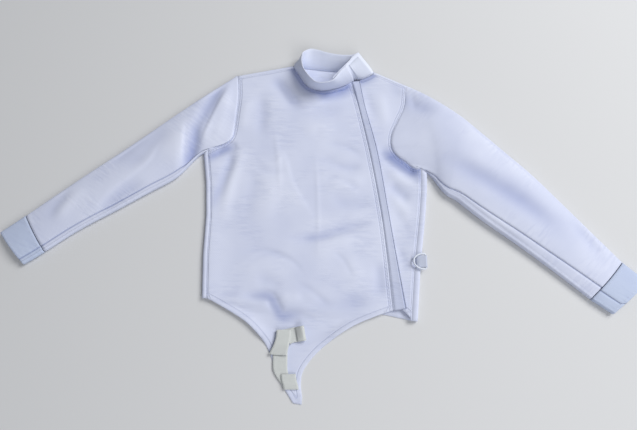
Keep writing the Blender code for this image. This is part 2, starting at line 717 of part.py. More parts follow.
def block(name, size, middle, turn, collection):
    """Rectangular block on a point of the working plan."""
    mesh = bpy.data.meshes.new(name)
    shape = bmesh.new()
    bmesh.ops.create_cube(shape, size=1)
    bmesh.ops.scale(shape, vec=[n * MM for n in size], verts=shape.verts)
    shape.to_mesh(mesh)
    shape.free()
    mesh.materials.append(material(ZIP_METAL))
    obj = bpy.data.objects.new(name, mesh)
    obj.location = [(middle[0] - CENTRE[0]) * MM, (middle[1] - CENTRE[1]) * MM, middle[2] * MM]
    obj.rotation_euler = (0, 0, turn)
    collection.objects.link(obj)
    return obj


def face_out(obj):
    """Turns a closed mesh's faces outward."""
    mesh = bmesh.new()
    mesh.from_mesh(obj.data)
    bmesh.ops.recalc_face_normals(mesh, faces=mesh.faces)
    mesh.to_mesh(obj.data)
    mesh.free()


# ---------------------------------------------------------------- sleeves and cuffs
FRONT_STEPS, ROLL_STEPS, BACK_STEPS = 11, 3, 9


def mitred(a, b):
    """Direction that moves a corner clear of two edges by the same distance."""
    both = a + b
    return both * 2 / (both @ both)


def armhole_rings(side):
    """Two closed lines round an armhole: the sleeve's edge, and one a little further out."""
    out = out_of(side)
    front = front_armhole(side)
    front = np.column_stack([front, lie(front[:, 0], front[:, 1])])
    back = back_armhole(side)
    back = np.column_stack([back, np.full(len(back), FLAT)])
    low = across(side, SIDE_FOLD[side][-1][0], ARMPIT_SLANT)[1:-1][::-1]
    low = wrapped(low[:, 0], low[:, 1])
    start, along, normal, length = shoulder_frame(side)
    high = strip_points(start + along * length, normal, SHOULDER_WRAP)[1:-1]
    high = wrapped(high[:, 0], high[:, 1])
    front_out = normals_of(front) * -out
    back_out = normals_of(back) * out
    up = np.array([out * ARMPIT_SLANT, 1.0]) / math.hypot(ARMPIT_SLANT, 1)
    front_out[0], front_out[-1] = mitred(front_out[0], along), mitred(front_out[-1], up)
    back_out[0], back_out[-1] = mitred(back_out[0], up), mitred(back_out[-1], along)
    edge = np.vstack([front, low, back, high])
    shift = np.vstack([front_out, np.tile(up * ARMPIT_ROOM, (len(low), 1)), back_out,
                       np.tile(along, (len(high), 1))])
    edge[:, :2] += shift * SEAM
    lead = np.vstack([front_out, np.tile([out, 0.0], (len(low), 1)), back_out,
                      np.tile(along, (len(high), 1))])
    further = edge.copy()
    further[:, :2] += lead * SLEEVE_LEAD
    return [edge, further]


def section_ring(row, folds):
    """Flattened tube section between an upper and a lower edge, flat side down."""
    ux, uy, lx, ly, height, roll = row
    upper, lower = np.array([ux, uy]), np.array([lx, ly])
    along = (lower - upper) / np.linalg.norm(lower - upper)
    first, last = upper + along * roll, lower - along * roll
    ring = []
    for q in np.linspace(0, 1, FRONT_STEPS + 1):
        spot = first * (1 - q) + last * q
        crown = (height - FLAT - 2 * roll) * math.sin(math.pi * q) ** 0.8
        fold = relief(spot[0], spot[1], folds) * math.sin(math.pi * q) ** 0.5
        ring.append((*spot, FLAT + 2 * roll + max(0.0, crown) + fold))
    for a in np.linspace(0, math.pi, ROLL_STEPS + 3)[1:-1]:
        spot = last + along * roll * math.sin(a)
        ring.append((*spot, FLAT + roll * (1 + math.cos(a))))
    for q in np.linspace(1, 0, BACK_STEPS + 1):
        ring.append((*(first * (1 - q) + last * q), FLAT))
    for a in np.linspace(0, math.pi, ROLL_STEPS + 3)[1:-1]:
        spot = first - along * roll * math.sin(a)
        ring.append((*spot, FLAT + roll * (1 - math.cos(a))))
    return np.array(ring)


def build_sleeve(side):
    folds = SLEEVE_FOLDS[side]
    rings = armhole_rings(side)
    rings += [section_ring(row, folds) for row in SLEEVE_ROWS[side]]
    splits = [1, 1, 2] + [1] * (len(SLEEVE_ROWS[side]) - 2)
    points, faces = bridge(loft(rings, splits), closed=True)
    add_object("sleeve_" + side, points, faces, CLOTH, WALL)


def build_cuff(side):
    rings = [section_ring(row, []) for row in CUFF_ROWS[side]]
    points, faces = bridge(loft(rings, [1, 1]), closed=True)
    add_object("cuff_" + side, points, faces, CLOTH, WALL)


# ---------------------------------------------------------------- collar and its patch
def build_collar():
    points, faces = bridge(collar_surface(), closed=False)
    add_object("collar", points, faces, CLOTH, WALL)


def build_patch():
    """Hook-and-loop tape on the outer face of the collar's under end."""
    surface = collar_surface()
    first, last = (int(span * COLLAR_SPLIT) for span in PATCH_SPAN)
    low, high = PATCH_BAND
    rows = []
    for index in range(first, last + 1):
        row = surface[index]
        along = surface[index + 1][2] - surface[index - 1][2]
        up = row[-1] - row[0]
        out = np.cross(along, up)
        out /= np.linalg.norm(out)
        lift = WALL / 2 + 2 * SEAM + PATCH_THICK / 2
        heights = np.linspace(0, 1, len(row))
        between = [v for v in heights if low < v < high]
        points = [[np.interp(v, heights, row[:, k]) for k in range(3)] for v in (low, *between, high)]
        rows.append(np.array(points) + out * lift)
    points, faces = bridge(rows, closed=False)
    add_object("collar_patch", points, faces, HOOK_TAPE, PATCH_THICK)


# ---------------------------------------------------------------- strap, ring and tab
def build_strap():
    rows = []
    for x, y, z, across_deg, stretch, lift in STRAP_ROWS:
        turn = math.radians(across_deg)
        half = np.array([math.cos(turn), math.sin(turn)]) * STRAP_WIDE * stretch / 2
        row = []
        for u in (-1.0, -0.33, 0.33, 1.0):
            row.append((x + half[0] * u, y + half[1] * u, z + lift * (u + 1) / 2))
        rows.append(np.array(row))
    points, faces = bridge(rows, closed=False)
    add_object("crotch_strap", points, faces, ELASTIC, STRAP_THICK)


def build_tab():
    """Tape caught in the side seam, folded round the ring's bar."""
    bar_x, bar_z = RING_BAR
    radius = RING_STOCK + TAB_PLAY + TAB_THICK / 2
    profile = [(TAB_START, TAB_LEVELS[0]), (TAB_START + 8, TAB_LEVELS[0] - 0.1)]
    for a in np.linspace(-TAB_TURN, TAB_TURN, 11):
        profile.append((bar_x + radius * math.cos(a), bar_z + radius * math.sin(a)))
    profile += [(TAB_START + 8, TAB_LEVELS[1] + 0.4), (TAB_START, TAB_LEVELS[1])]
    rows = []
    for y in np.linspace(RING_Y - TAB_WIDE / 2, RING_Y + TAB_WIDE / 2, 3):
        rows.append(np.array([(x, y, z) for x, z in profile]))
    points, faces = bridge(rows, closed=False)
    add_object("ring_tab", points, faces, CLOTH, TAB_THICK)


def build_ring():
    """D ring: a straight bar and a bow, round stock."""
    bar_x, bar_z = RING_BAR
    path = []
    for a in np.linspace(-math.pi / 2, math.pi / 2, 17):
        reach = RING_CORNER + (RING_REACH - RING_CORNER) * math.cos(a)
        path.append((-reach, RING_HALF * math.sin(a)))
    for a in np.linspace(0, math.pi / 2, 4)[1:]:
        path.append((-RING_CORNER + RING_CORNER * math.sin(a),
                     RING_HALF - RING_CORNER + RING_CORNER * math.cos(a)))
    for a in np.linspace(math.pi / 2, 0, 4)[:-1]:
        path.append((-RING_CORNER + RING_CORNER * math.sin(a),
                     -RING_HALF + RING_CORNER - RING_CORNER * math.cos(a)))
    curve = bpy.data.curves.new("ring", "CURVE")
    curve.dimensions = "3D"
    curve.bevel_depth = RING_STOCK * MM
    curve.bevel_resolution = 2
    spline = curve.splines.new("POLY")
    spline.points.add(len(path) - 1)
    for point, (x, y) in zip(spline.points, path):
        lift = -x / RING_REACH * RING_LIFT
        point.co = (x * MM, y * MM, lift * MM, 1)
    spline.use_cyclic_u = True
    curve.materials.append(material(RING_PLASTIC))
    ring = bpy.data.objects.new("ring", curve)
    ring.location = ((bar_x - CENTRE[0]) * MM, (RING_Y - CENTRE[1]) * MM, bar_z * MM)
    COLLECTION.objects.link(ring)


for old in list(bpy.data.objects):
    bpy.data.objects.remove(old, do_unlink=True)
COLLECTION = bpy.data.collections.new("fencing_jacket")
bpy.context.scene.collection.children.link(COLLECTION)
CUTTERS = bpy.data.collections.new("cutters")
bpy.context.scene.collection.children.link(CUTTERS)

build_back()
build_fronts()
build_flap()
build_zip()
build_slider()
for arm in ("right", "left"):
    build_sleeve(arm)
    build_cuff(arm)
build_collar()
build_patch()
build_strap()
build_tab()
build_ring()
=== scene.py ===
# %% [markdown]
# # A fencing jacket, laid flat
# A fencing jacket is cut from two plies of dense white twill. It closes at one side under a
# flap, it has a stand collar, and a tail of the front passes between the legs and is held by an
# elastic strap. Here it lies on its back, front up, as a maker would lay it out to look it over.
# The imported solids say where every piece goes. Each piece below is made again as thin cloth on
# the same form, with its folds, seams and stitches.

# %% Load the frame
import math

import bpy
import numpy as np
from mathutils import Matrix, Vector
from mathutils.bvhtree import BVHTree
from mathutils.geometry import delaunay_2d_cdt


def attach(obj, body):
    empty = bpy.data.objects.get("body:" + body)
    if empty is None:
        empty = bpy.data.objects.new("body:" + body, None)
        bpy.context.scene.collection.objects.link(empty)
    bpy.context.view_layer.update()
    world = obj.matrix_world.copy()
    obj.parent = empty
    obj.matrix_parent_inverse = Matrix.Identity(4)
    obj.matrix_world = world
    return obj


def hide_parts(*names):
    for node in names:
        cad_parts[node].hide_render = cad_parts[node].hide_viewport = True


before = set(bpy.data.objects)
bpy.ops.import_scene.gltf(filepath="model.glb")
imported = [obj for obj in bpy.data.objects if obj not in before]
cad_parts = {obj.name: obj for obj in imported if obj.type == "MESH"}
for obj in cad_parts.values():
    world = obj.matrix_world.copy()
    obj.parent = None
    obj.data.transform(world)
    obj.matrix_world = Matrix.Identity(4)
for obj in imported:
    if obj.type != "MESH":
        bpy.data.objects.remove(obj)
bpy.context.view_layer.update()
MM = 0.001
CENTRE = (0.55, 6.85)       # middle of the footprint in the plan that the tables use

# %% [markdown]
# ## Camera and light
# The jacket is seen from almost overhead, from the hem's side. Soft light comes from beyond the
# collar and the wearer's left, so the folds shade towards the hem and every lower edge drops a
# narrow shadow. A small lamp would give hard shadows, so both lamps are large: the second, on the
# hem's side, is weaker and fills the shadows together with a pale sky.

# %% Camera
camera = bpy.data.objects.new("camera", bpy.data.cameras.new("camera"))
bpy.context.scene.collection.objects.link(camera)
bpy.context.scene.camera = camera
TILT = math.radians(16)     # away from straight down
REACH = 1.085               # metres from the lens to the chest
camera.data.lens = 27       # millimetres, on a sensor 36 wide
camera.data.sensor_width = 36
camera.rotation_euler = (TILT, 0, 0)
camera.location = (-CENTRE[0] * MM, -CENTRE[1] * MM - REACH * math.sin(TILT), REACH * math.cos(TILT))
print("camera", tuple(round(v, 3) for v in camera.location))

# %% Light


def lamp(name, power, size, place, colour):
    """Square soft lamp that looks at the jacket's middle."""
    data = bpy.data.lights.new(name, "AREA")
    data.energy = power
    data.size = size
    data.color = colour
    obj = bpy.data.objects.new(name, data)
    obj.location = place
    obj.rotation_euler = (-Vector(place)).to_track_quat("-Z", "Y").to_euler()
    bpy.context.scene.collection.objects.link(obj)


lamp("window", 182, 2.5, (2.9, 1.9, 3.3), (1.0, 0.985, 0.96))
lamp("front", 50, 2.2, (1.3, -2.6, 2.6), (1.0, 0.99, 0.98))
world = bpy.data.worlds.new("room")
world.use_nodes = True
world.node_tree.nodes["Background"].inputs["Color"].default_value = (0.93, 0.95, 1.0, 1)
world.node_tree.nodes["Background"].inputs["Strength"].default_value = 0.26
bpy.context.scene.world = world
bpy.context.scene.view_settings.view_transform = "Standard"

# %% [markdown]
# ## Colours and shader nodes
# Colours are written as the eye sees them, in sRGB hex. Shaders work in linear light, so one
# function converts them. One more function adds a node with its settings and its links: a node
# that is handed in as an input is linked by its first output.

# %% Helpers for materials


def linear(code):
    """Linear RGBA of an sRGB hex colour."""
    parts = [int(code[i:i + 2], 16) / 255 for i in (1, 3, 5)]
    return (*[c / 12.92 if c <= 0.04045 else ((c + 0.055) / 1.055) ** 2.4 for c in parts], 1)


def node(tree, kind, settings=None, inputs=None):
    """Adds a shader node, sets its properties and fills its inputs with values or links."""
    made = tree.nodes.new(kind)
    for key, value in (settings or {}).items():
        setattr(made, key, value)
    for key, value in (inputs or {}).items():
        if isinstance(value, bpy.types.Node):
            value = value.outputs[0]
        if isinstance(value, bpy.types.NodeSocket):
            tree.links.new(value, made.inputs[key])
        else:
            made.inputs[key].default_value = value
    return made


def new_material(name, hex_colour, rough, slot_name):
    """Plain Principled material with a colour, and the slot of the record that it stands for."""
    made = bpy.data.materials.new(name)
    made.use_nodes = True
    shader = made.node_tree.nodes["Principled BSDF"]
    shader.inputs["Base Color"].default_value = linear(hex_colour)
    shader.inputs["Roughness"].default_value = rough
    made.diffuse_color = linear(hex_colour)
    made["slot"] = slot_name
    return made, made.node_tree, shader


print("middle grey is", round(linear("#808080")[0], 3), "in linear light")

# %% [markdown]
# ## Jacket twill
# Two plies of bleached cotton and polyester twill. The yarn is optically brightened, so white
# reads faintly blue. An image of cloth would have to be unwrapped onto every piece, so waves and
# noise draw it instead. The twill line is about 0.9 mm, far finer than the picture can hold, so
# it is drawn at 2.6 mm and very shallow. Handling leaves shallow ripples a few millimetres apart.
# Three distances or heights that each piece stores at its points do the rest: a narrow valley
# at a seam and a groove at a row of stitches, each with painted shade, and painted shade in the
# hollow of a fold. The ripples' low places get a little painted shade too.

# %% Twill
TWILL_LINE = 0.0026
RIPPLES = (30, 150, 60)     # how fine the ripples are: long across the jacket, short along it
PAINTED_SHADE_COLOUR = "#7F8DC0"          # painted shade: the colour the cloth is mixed towards in fold hollows, seams, stitch grooves and ripples


def twill(name, hex_colour, angle, slot_name="jacket_cloth", ripple=1.0):
    """Woven cloth whose twill line runs at an angle in the plan, with painted shade in folds, seams, stitch
    grooves and ripples.
    """
    made, tree, shader = new_material(name, hex_colour, 0.82, slot_name)
    shader.inputs["Sheen Weight"].default_value = 0.12
    shader.inputs["Sheen Roughness"].default_value = 0.5
    shader.inputs["Specular IOR Level"].default_value = 0.3
    place = node(tree, "ShaderNodeTexCoord").outputs["Object"]
    turned = node(tree, "ShaderNodeMapping", {}, {"Vector": place, "Rotation": (0, 0, math.radians(angle))})
    line = node(tree, "ShaderNodeTexWave", {"wave_type": "BANDS", "bands_direction": "DIAGONAL"},
                {"Vector": turned, "Scale": 0.444 / TWILL_LINE,     # its bands are 0.444 / scale apart
                 "Distortion": 0.6, "Detail": 1.0, "Detail Scale": 2.0}).outputs["Fac"]
    stretch = node(tree, "ShaderNodeMapping", {}, {"Vector": turned, "Scale": RIPPLES})
    ripples = node(tree, "ShaderNodeTexNoise", {},
                   {"Vector": stretch, "Scale": 1.0, "Detail": 3.0, "Roughness": 0.55})
    broad = node(tree, "ShaderNodeTexNoise", {},
                 {"Vector": place, "Scale": 9.0, "Detail": 2.0, "Roughness": 0.45})
    patches = node(tree, "ShaderNodeTexNoise", {}, {"Vector": place, "Scale": 14.0, "Detail": 1.0})
    seam, row, hollow = [node(tree, "ShaderNodeAttribute", {"attribute_name": key}).outputs["Fac"]
                         for key in ("seam", "stitched", "hollow")]
    off_seam, off_row = [node(tree, "ShaderNodeMath", {"operation": "ABSOLUTE"}, {0: value})
                         for value in (seam, row)]
    ranges = {
        # what is read, from, to, what that becomes at either end, and how it runs between them
        "rippled": (patches, 0.46, 0.64, 0.08, 0.9 * ripple, "LINEAR"),
        "valley": (off_seam, 0.2, 2.6, 0.0, 1.0, "SMOOTHSTEP"),
        "groove": (off_row, 0.1, 1.9, 0.0, 1.0, "SMOOTHSTEP"),
        "fold shade": (hollow, -11.0, 2.2, 0.8, 0.0, "LINEAR"),
        "uneven white": (broad, 0.3, 0.7, 0.10, -0.06, "LINEAR"),
        "groove shade": (off_row, 0.1, 1.3, 0.2, 0.0, "LINEAR"),
        "seam shade": (off_seam, 0.2, 1.4, 0.55, 0.0, "LINEAR"),
        "ripple shade": (ripples, 0.38, 0.58, 0.09, -0.03, "LINEAR"),
    }
    sockets = ("Value", "From Min", "From Max", "To Min", "To Max")
    part = {key: node(tree, "ShaderNodeMapRange", {"interpolation_type": how}, dict(zip(sockets, values)))
            for key, (*values, how) in ranges.items()}
    bumps = [(0.25, 0.0003, line), (part["rippled"], 0.0012, ripples), (0.4, 0.006, broad),
             (0.9, 0.0012, part["valley"]), (0.8, 0.0008, part["groove"])]
    link = {}
    for strength, depth, height in bumps:
        bump = node(tree, "ShaderNodeBump", {},
                    {"Strength": strength, "Distance": depth, "Height": height, **link})
        link = {"Normal": bump}
    tree.links.new(bump.outputs["Normal"], shader.inputs["Normal"])
    # Painted shade: these shares mix the cloth's colour towards the painted shade colour; only the uneven
    # white is a random tone of the cloth.
    shade = node(tree, "ShaderNodeMath", {"operation": "MULTIPLY"},
                 {0: part["ripple shade"], 1: part["rippled"]})
    for key in ("fold shade", "uneven white", "groove shade", "seam shade"):
        shade = node(tree, "ShaderNodeMath", {"operation": "ADD"}, {0: shade, 1: part[key]})
    shade.use_clamp = True
    mix = node(tree, "ShaderNodeMix", {"data_type": "RGBA"}, {"Factor": shade})
    mix.inputs[6].default_value = linear(hex_colour)
    mix.inputs[7].default_value = linear(PAINTED_SHADE_COLOUR)
    tree.links.new(mix.outputs[2], shader.inputs["Base Color"])
    return made


# %% The jacket's twills
BODY_TWILL = twill("bleached_twill_body", "#DAE0F3", 0)
SLEEVE_TWILL = {"right": twill("bleached_twill_right_sleeve", "#DAE0F3", 36),
                "left": twill("bleached_twill_left_sleeve", "#DAE0F3", -44)}
# Painted shade: the cuffs' copy of the twill is darker than the body's.
CUFF_TWILL = twill("bleached_twill_cuffs", "#C3CFE6", 30)
# Painted light: the collar's copy of the twill is lighter than the body's, so its shaded inside reads as
# lit.
COLLAR_TWILL = twill("bleached_twill_collar", "#E3E9F8", 0, ripple=0.6)
FLAP_TWILL = twill("bleached_twill_flap", "#CBD2E8", 12, "flap_cloth")
print("twills", [m.name for m in bpy.data.materials if m.name.startswith("bleached")])

# %% [markdown]
# ## Sizes and tables
# Every table is in millimetres in a plan whose origin is on the chest: X to the wearer's left,
# Y to the collar. They repeat the sizes that the solids were made from, so the cloth fits them.

# %% Sizes
WALL = 1.8                  # two plies sewn as one
SEAM = 0.3                  # gap between pieces that are sewn together
ROLL = 4.2                  # radius of the soft roll at sides and shoulders
FLAT = WALL / 2             # middle of cloth that lies on the floor
TOP = FLAT + 2 * ROLL       # middle of the cloth at the top of a roll
REST = 6.2                  # how high the fronts lie, lifted by the air caught under them
LEAST = FLAT + WALL + SEAM  # as low as the fronts can lie on the back
SPREAD = 30.0               # how far in from an edge its roll lifts them
DROP = 26.0                 # length over which they come down past the back's hem
GRID = 4.2                  # spacing of the points in the cloth
AWAY = 50.0                 # stored distance of cloth that has no seam or stitches near it
SIDES = ("right", "left")

SIDE_FOLD = {
    "right": [(-187, -250), (-94, -254), (0, -253), (75, -258), (147, -268)],
    "left": [(-236, 210), (-112, 224), (0, 241), (60, 248), (98, 250)],
}
SHOULDER_FOLD = {"right": [(-62, 381), (-199, 353)], "left": [(136, 364), (216, 325)]}
FRONT_ARMHOLE = {
    "right": [(-195, 300), (-198, 255), (-202, 212), (-208, 188), (-223, 175), (-243, 165)],
    "left": [(207, 270), (190, 230), (176, 196), (174, 168), (184, 145), (204, 127), (222, 111)],
}
BACK_ARMHOLE = {
    "right": [(-245, 158), (-222, 180), (-208, 215), (-203, 255), (-201, 300)],
    "left": [(226, 110), (205, 132), (192, 165), (192, 205), (202, 250), (210, 290)],
}
HEM_SIDE = [(-212, -202), (-157, -235), (-122, -269), (-104, -297), (-88, -335), (-69, -374)]
TAIL_TIP = [(-52, -399), (-35, -402)]
HEM_FRONT = [(-34, -389), (-37, -360), (-29, -331), (7, -291), (69, -248), (132, -222)]
CLOSING = [(80, 336, 101, 337), (94, 278, 113, 268), (119, 150, 139, 150),
           (140, 9, 158, 9), (150, -94, 173, -104), (158, -214, 188, -210)]
LEFT_EDGE, ZIP_LINE = 0.66, 0.42     # shares of the flap's width at which they run
LEFT_HEM = [(192, -226)]
BACK_HEM = [(-250, -187), (-130, -197), (0, -208), (120, -219), (210, -236)]
SHOULDER_WRAP = 3.0         # how far past the rolls the back's cloth comes onto the front
SIDE_WRAP = {"right": 4.5, "left": 9.0}
ARMPIT_SLANT = 0.8          # how steeply its top edge runs there
print("tables", "chest", SIDE_FOLD["left"][2][1] - SIDE_FOLD["right"][2][1], "mm flat")

# %% [markdown]
# ## Where the cloth is creased
# Each row is one fold: how far it rises or sinks in millimetres, how wide it is, how far a raised
# facet reaches to the right of a sharp crease (0 for a soft fold), and the points it runs through.
# Simulated cloth would crease by itself, but not where it is wanted, and a row can be moved by
# hand. Nothing is scattered: the troughs start where a lying jacket is pulled, at armpit,
# shoulder and closing. A fold's depth is also painted: the twill darkens its trough with painted
# shade, and past the depth that the cloth can sink to, a row adds only painted shade.

# %% Folds of the body
BODY_FOLDS = [
    # rise, width, reach, path
    (-3.4, 12, 0, [(-189, 176), (-210, 120), (-226, 62), (-240, 0)]),
    (-2.0, 11, 0, [(-226, 76), (-238, 33), (-245, 0)]),
    # painted shadow under the right sleeve's lower edge: the cloth sinks only to its floor, the rest is
    # painted shade
    (-9.0, 11, 0, [(-186, 172), (-214, 162), (-238, 148), (-270, 124)]),
    (2.4, 15, 0, [(-170, 180), (-190, 116), (-206, 60), (-220, -40)]),
    (-4.6, 16, 0, [(-124, 356), (-84, 320), (-59, 284), (-34, 262)]),
    (-2.8, 16, 0, [(-142, 320), (-135, 244), (-140, 182)]),
    (1.6, 14, 0, [(-170, 300), (-178, 250), (-184, 200)]),
    (1.0, 12, 40, [(-104, 180), (-76, 140), (-56, 72), (-20, 10), (0, -30)]),
    (0.7, 4, 0, [(-8, 160), (-2, 60), (0, -40), (-2, -120)]),
    (-4.0, 12, 0, [(-80, -54), (-30, -56), (10, -48), (48, -36), (128, -16)]),
    (-1.6, 7, 0, [(-40, -52), (0, -54), (46, -42)]),
    (1.1, 16, 0, [(-20, -84), (30, -76), (90, -52)]),
    (-1.5, 15, 0, [(-6, 146), (50, 118), (116, 112)]),
    (-1.4, 14, 0, [(24, 40), (70, 24), (136, 26)]),
    (1.2, 15, 0, [(20, 90), (70, 76), (116, 84)]),
    (1.1, 18, 0, [(-120, 110), (-110, 40), (-126, -40)]),
    (-1.1, 16, 0, [(-150, 130), (-152, 60), (-170, -30)]),
    (-1.3, 7, 0, [(-174, -88), (-120, -82), (-80, -96), (-56, -112)]),
    (1.1, 18, 0, [(-190, -120), (-120, -116), (-60, -140)]),
    (-6.4, 11, 0, [(-176, -180), (-140, -182), (-106, -184), (-92, -206), (-78, -226), (-40, -220),
                   (-20, -214)]),
    (-1.4, 14, 0, [(-140, -158), (-110, -150), (-76, -170)]),
    (1.6, 12, 0, [(-84, -172), (-66, -188), (-30, -182)]),
    (-2.2, 18, 0, [(-36, -206), (40, -204), (120, -196)]),
    (-2.8, 15, 0, [(132, -100), (136, -150), (136, -194)]),
    (1.2, 20, 0, [(60, -90), (84, -140), (76, -180)]),
    (1.1, 22, 0, [(-40, 200), (0, 220), (40, 190)]),
    (-1.2, 18, 0, [(-30, 268), (20, 262), (66, 250)]),
    # painted shade in the hollow under the left arm, far deeper than the cloth can sink
    (-12.0, 16, 0, [(138, 168), (164, 146), (192, 124), (222, 102), (262, 80)]),
    (2.4, 13, 0, [(160, 106), (192, 84), (236, 62)]),
    (-3.0, 13, 0, [(158, 80), (186, 50), (214, 28)]),
    (1.6, 13, 0, [(164, 46), (194, 14), (216, -12)]),
    (-1.2, 12, 0, [(166, 16), (190, -20), (214, -50)]),
    (-2.0, 15, 0, [(172, 346), (190, 320), (206, 292)]),
    (-1.6, 12, 0, [(114, 330), (122, 280), (138, 226)]),
    (1.2, 13, 0, [(150, 320), (158, 250), (160, 200)]),
    (-2.2, 9, 0, [(168, -78), (186, -96), (198, -132)]),
    # painted shadow under the front of the collar
    (-6.0, 12, 0, [(-16, 298), (30, 299), (68, 312), (92, 328)]),
    (-1.0, 8, 0, [(-2, 165), (44, 171), (83, 156), (109, 127)]),
    (-0.9, 7, 0, [(29, 124), (68, 112), (105, 117)]),
    (-1.0, 8, 0, [(7, 91), (48, 85), (99, 63)]),
    (0.9, 8, 0, [(10, 69), (59, 63), (103, 41)]),
    (-1.0, 6, 0, [(-172, -126), (-132, -97), (-88, -92), (-50, -113), (-26, -150)]),
    (-0.8, 6, 0, [(27, -78), (56, -107), (77, -150)]),
    (-1.0, 7, 0, [(-53, -150), (-12, -174), (20, -200), (40, -192)]),
    (0.8, 7, 0, [(-149, 132), (-104, 122), (-73, 161)]),
    (-0.9, 7, 0, [(-158, 117), (-112, 101), (-67, 110)]),
    (-0.9, 9, 0, [(-219, 161), (-203, 122), (-217, 72), (-225, 27)]),
    (0.8, 6, 0, [(-106, 222), (-93, 132), (-87, 36)]),
]
print("body folds", len(BODY_FOLDS))

# %% Smooth lines


def between(a, b, c, d, t):
    """Places from b to c, at shares t of the way, on a smooth curve through four places in a row."""
    return 0.5 * (2 * b + (c - a) * t + (2 * a - 5 * b + 4 * c - d) * t ** 2
                  + (3 * b - a - 3 * c + d) * t ** 3)


def smooth_line(points, step=None, count=None):
    """Points evenly spaced along a smooth curve through the given points."""
    pts = np.array(points, float)
    ends = np.vstack([2 * pts[0] - pts[1], pts, 2 * pts[-1] - pts[-2]])
    t = np.linspace(0, 1, 24, endpoint=False)[:, None]
    spans = [between(*four, t) for four in zip(ends, ends[1:], ends[2:], ends[3:])]
    fine = np.vstack(spans + [pts[-1:]])
    run = np.append(0, np.cumsum(np.linalg.norm(np.diff(fine, axis=0), axis=1)))
    if count is None:
        count = max(1, round(run[-1] / step))
    at = np.linspace(0, run[-1], count + 1)
    return np.column_stack([np.interp(at, run, column) for column in fine.T])


def normals_of(line):
    """Unit plan normals to the right of a line's direction."""
    along = np.gradient(np.asarray(line, float)[:, :2], axis=0)
    along /= np.linalg.norm(along, axis=1)[:, None]
    return np.column_stack([along[:, 1], -along[:, 0]])


quarter = smooth_line([(100, 0), (71, 71), (0, 100)], 5)
print("a quarter circle of 100 mm is", len(quarter), "points at 5 mm")

# %% Distances, folds and outlines


def nearest(x, y, line):
    """Signed distance (right of the line is positive) and share of the length at the nearest point."""
    line = np.asarray(line, float)[:, :2]
    lengths = np.hypot(*np.diff(line, axis=0).T)
    starts = np.append(0, np.cumsum(lengths))
    best = np.full(np.shape(x), 1e9)
    signed = np.zeros(np.shape(x))
    share = np.zeros(np.shape(x))
    for (ax, ay), (bx, by), length, start in zip(line[:-1], line[1:], lengths, starts):
        dx, dy = bx - ax, by - ay
        t = np.clip(((x - ax) * dx + (y - ay) * dy) / (length * length + 1e-12), 0, 1)
        gap = np.hypot(x - ax - t * dx, y - ay - t * dy)
        side = np.where((x - ax) * dy - (y - ay) * dx > 0, 1.0, -1.0)
        closer = gap < best
        best = np.where(closer, gap, best)
        signed = np.where(closer, gap * side, signed)
        share = np.where(closer, (start + t * length) / starts[-1], share)
    return signed, share


def ease(t):
    """0 to 1, level at both ends."""
    t = np.clip(t, 0, 1)
    return t * t * (3 - 2 * t)


FADE = 0.34                 # share of a fold's length over which it dies out at either end


def relief(x, y, folds):
    """Height that the folds add at points of the plan."""
    total = np.zeros(np.shape(x))
    for rise, width, reach, path in folds:
        gap, share = nearest(x, y, smooth_line(path, 9))
        fade = ease(share / FADE) * ease((1 - share) / FADE)
        if reach:
            facet = ease(gap / width + 0.5) * np.exp(-(np.maximum(gap, 0) / reach) ** 2)
            total += rise * fade * facet
        else:
            total += rise * fade * np.exp(-(gap / width) ** 2)
    return total


def inside(x, y, outline):
    """Which points lie inside a closed outline."""
    found = np.zeros(np.shape(x), bool)
    for (ax, ay), (bx, by) in zip(outline, np.roll(outline, -1, axis=0)):
        crosses = (ay > y) != (by > y)
        found ^= crosses & (x < (bx - ax) * (y - ay) / (by - ay + 1e-12) + ax)
    return found


CORNER = 0.5                # points nearer to each other than this are one corner


def joined(*lines):
    """One closed outline from lines that follow each other, without repeated corners."""
    points = []
    for line in lines:
        for point in line:
            if not points or np.linalg.norm(np.subtract(point[:2], points[-1])) > CORNER:
                points.append(tuple(point[:2]))
    if np.linalg.norm(np.subtract(points[0], points[-1])) < CORNER:
        points.pop()
    return np.array(points)


print("deepest fold", min(row[0] for row in BODY_FOLDS), "mm")

# %% [markdown]
# ## From a flat cut to a wall of cloth
# Blender could thicken a sheet with a Solidify modifier, but its rim would be a sharp square cut.
# A sewn edge is turned and soft, so the wall is made here: the sheet is copied to both
# sides along its normals, and the rim gets one more row of points that bulges outward.

# %% Meshes and pieces


def out_box(points):
    """Plan millimetres to the frame's metres."""
    return (np.asarray(points, float) - (CENTRE[0], CENTRE[1], 0)) * MM


def new_mesh(name, points, faces):
    """Mesh of the points and faces as they are."""
    mesh = bpy.data.meshes.new(name)
    mesh.from_pydata([tuple(p) for p in points], [], [tuple(f) for f in faces])
    mesh.update()
    return mesh


def put(name, data, material):
    """New piece from a mesh or a curve, with its material and the slot that it stands for."""
    data.materials.append(material)
    obj = bpy.data.objects.new(name, data)
    bpy.context.scene.collection.objects.link(obj)
    return obj


print("the plan's origin lands at", out_box([(0, 0, 0)])[0], "in the frame")

# %% Wall


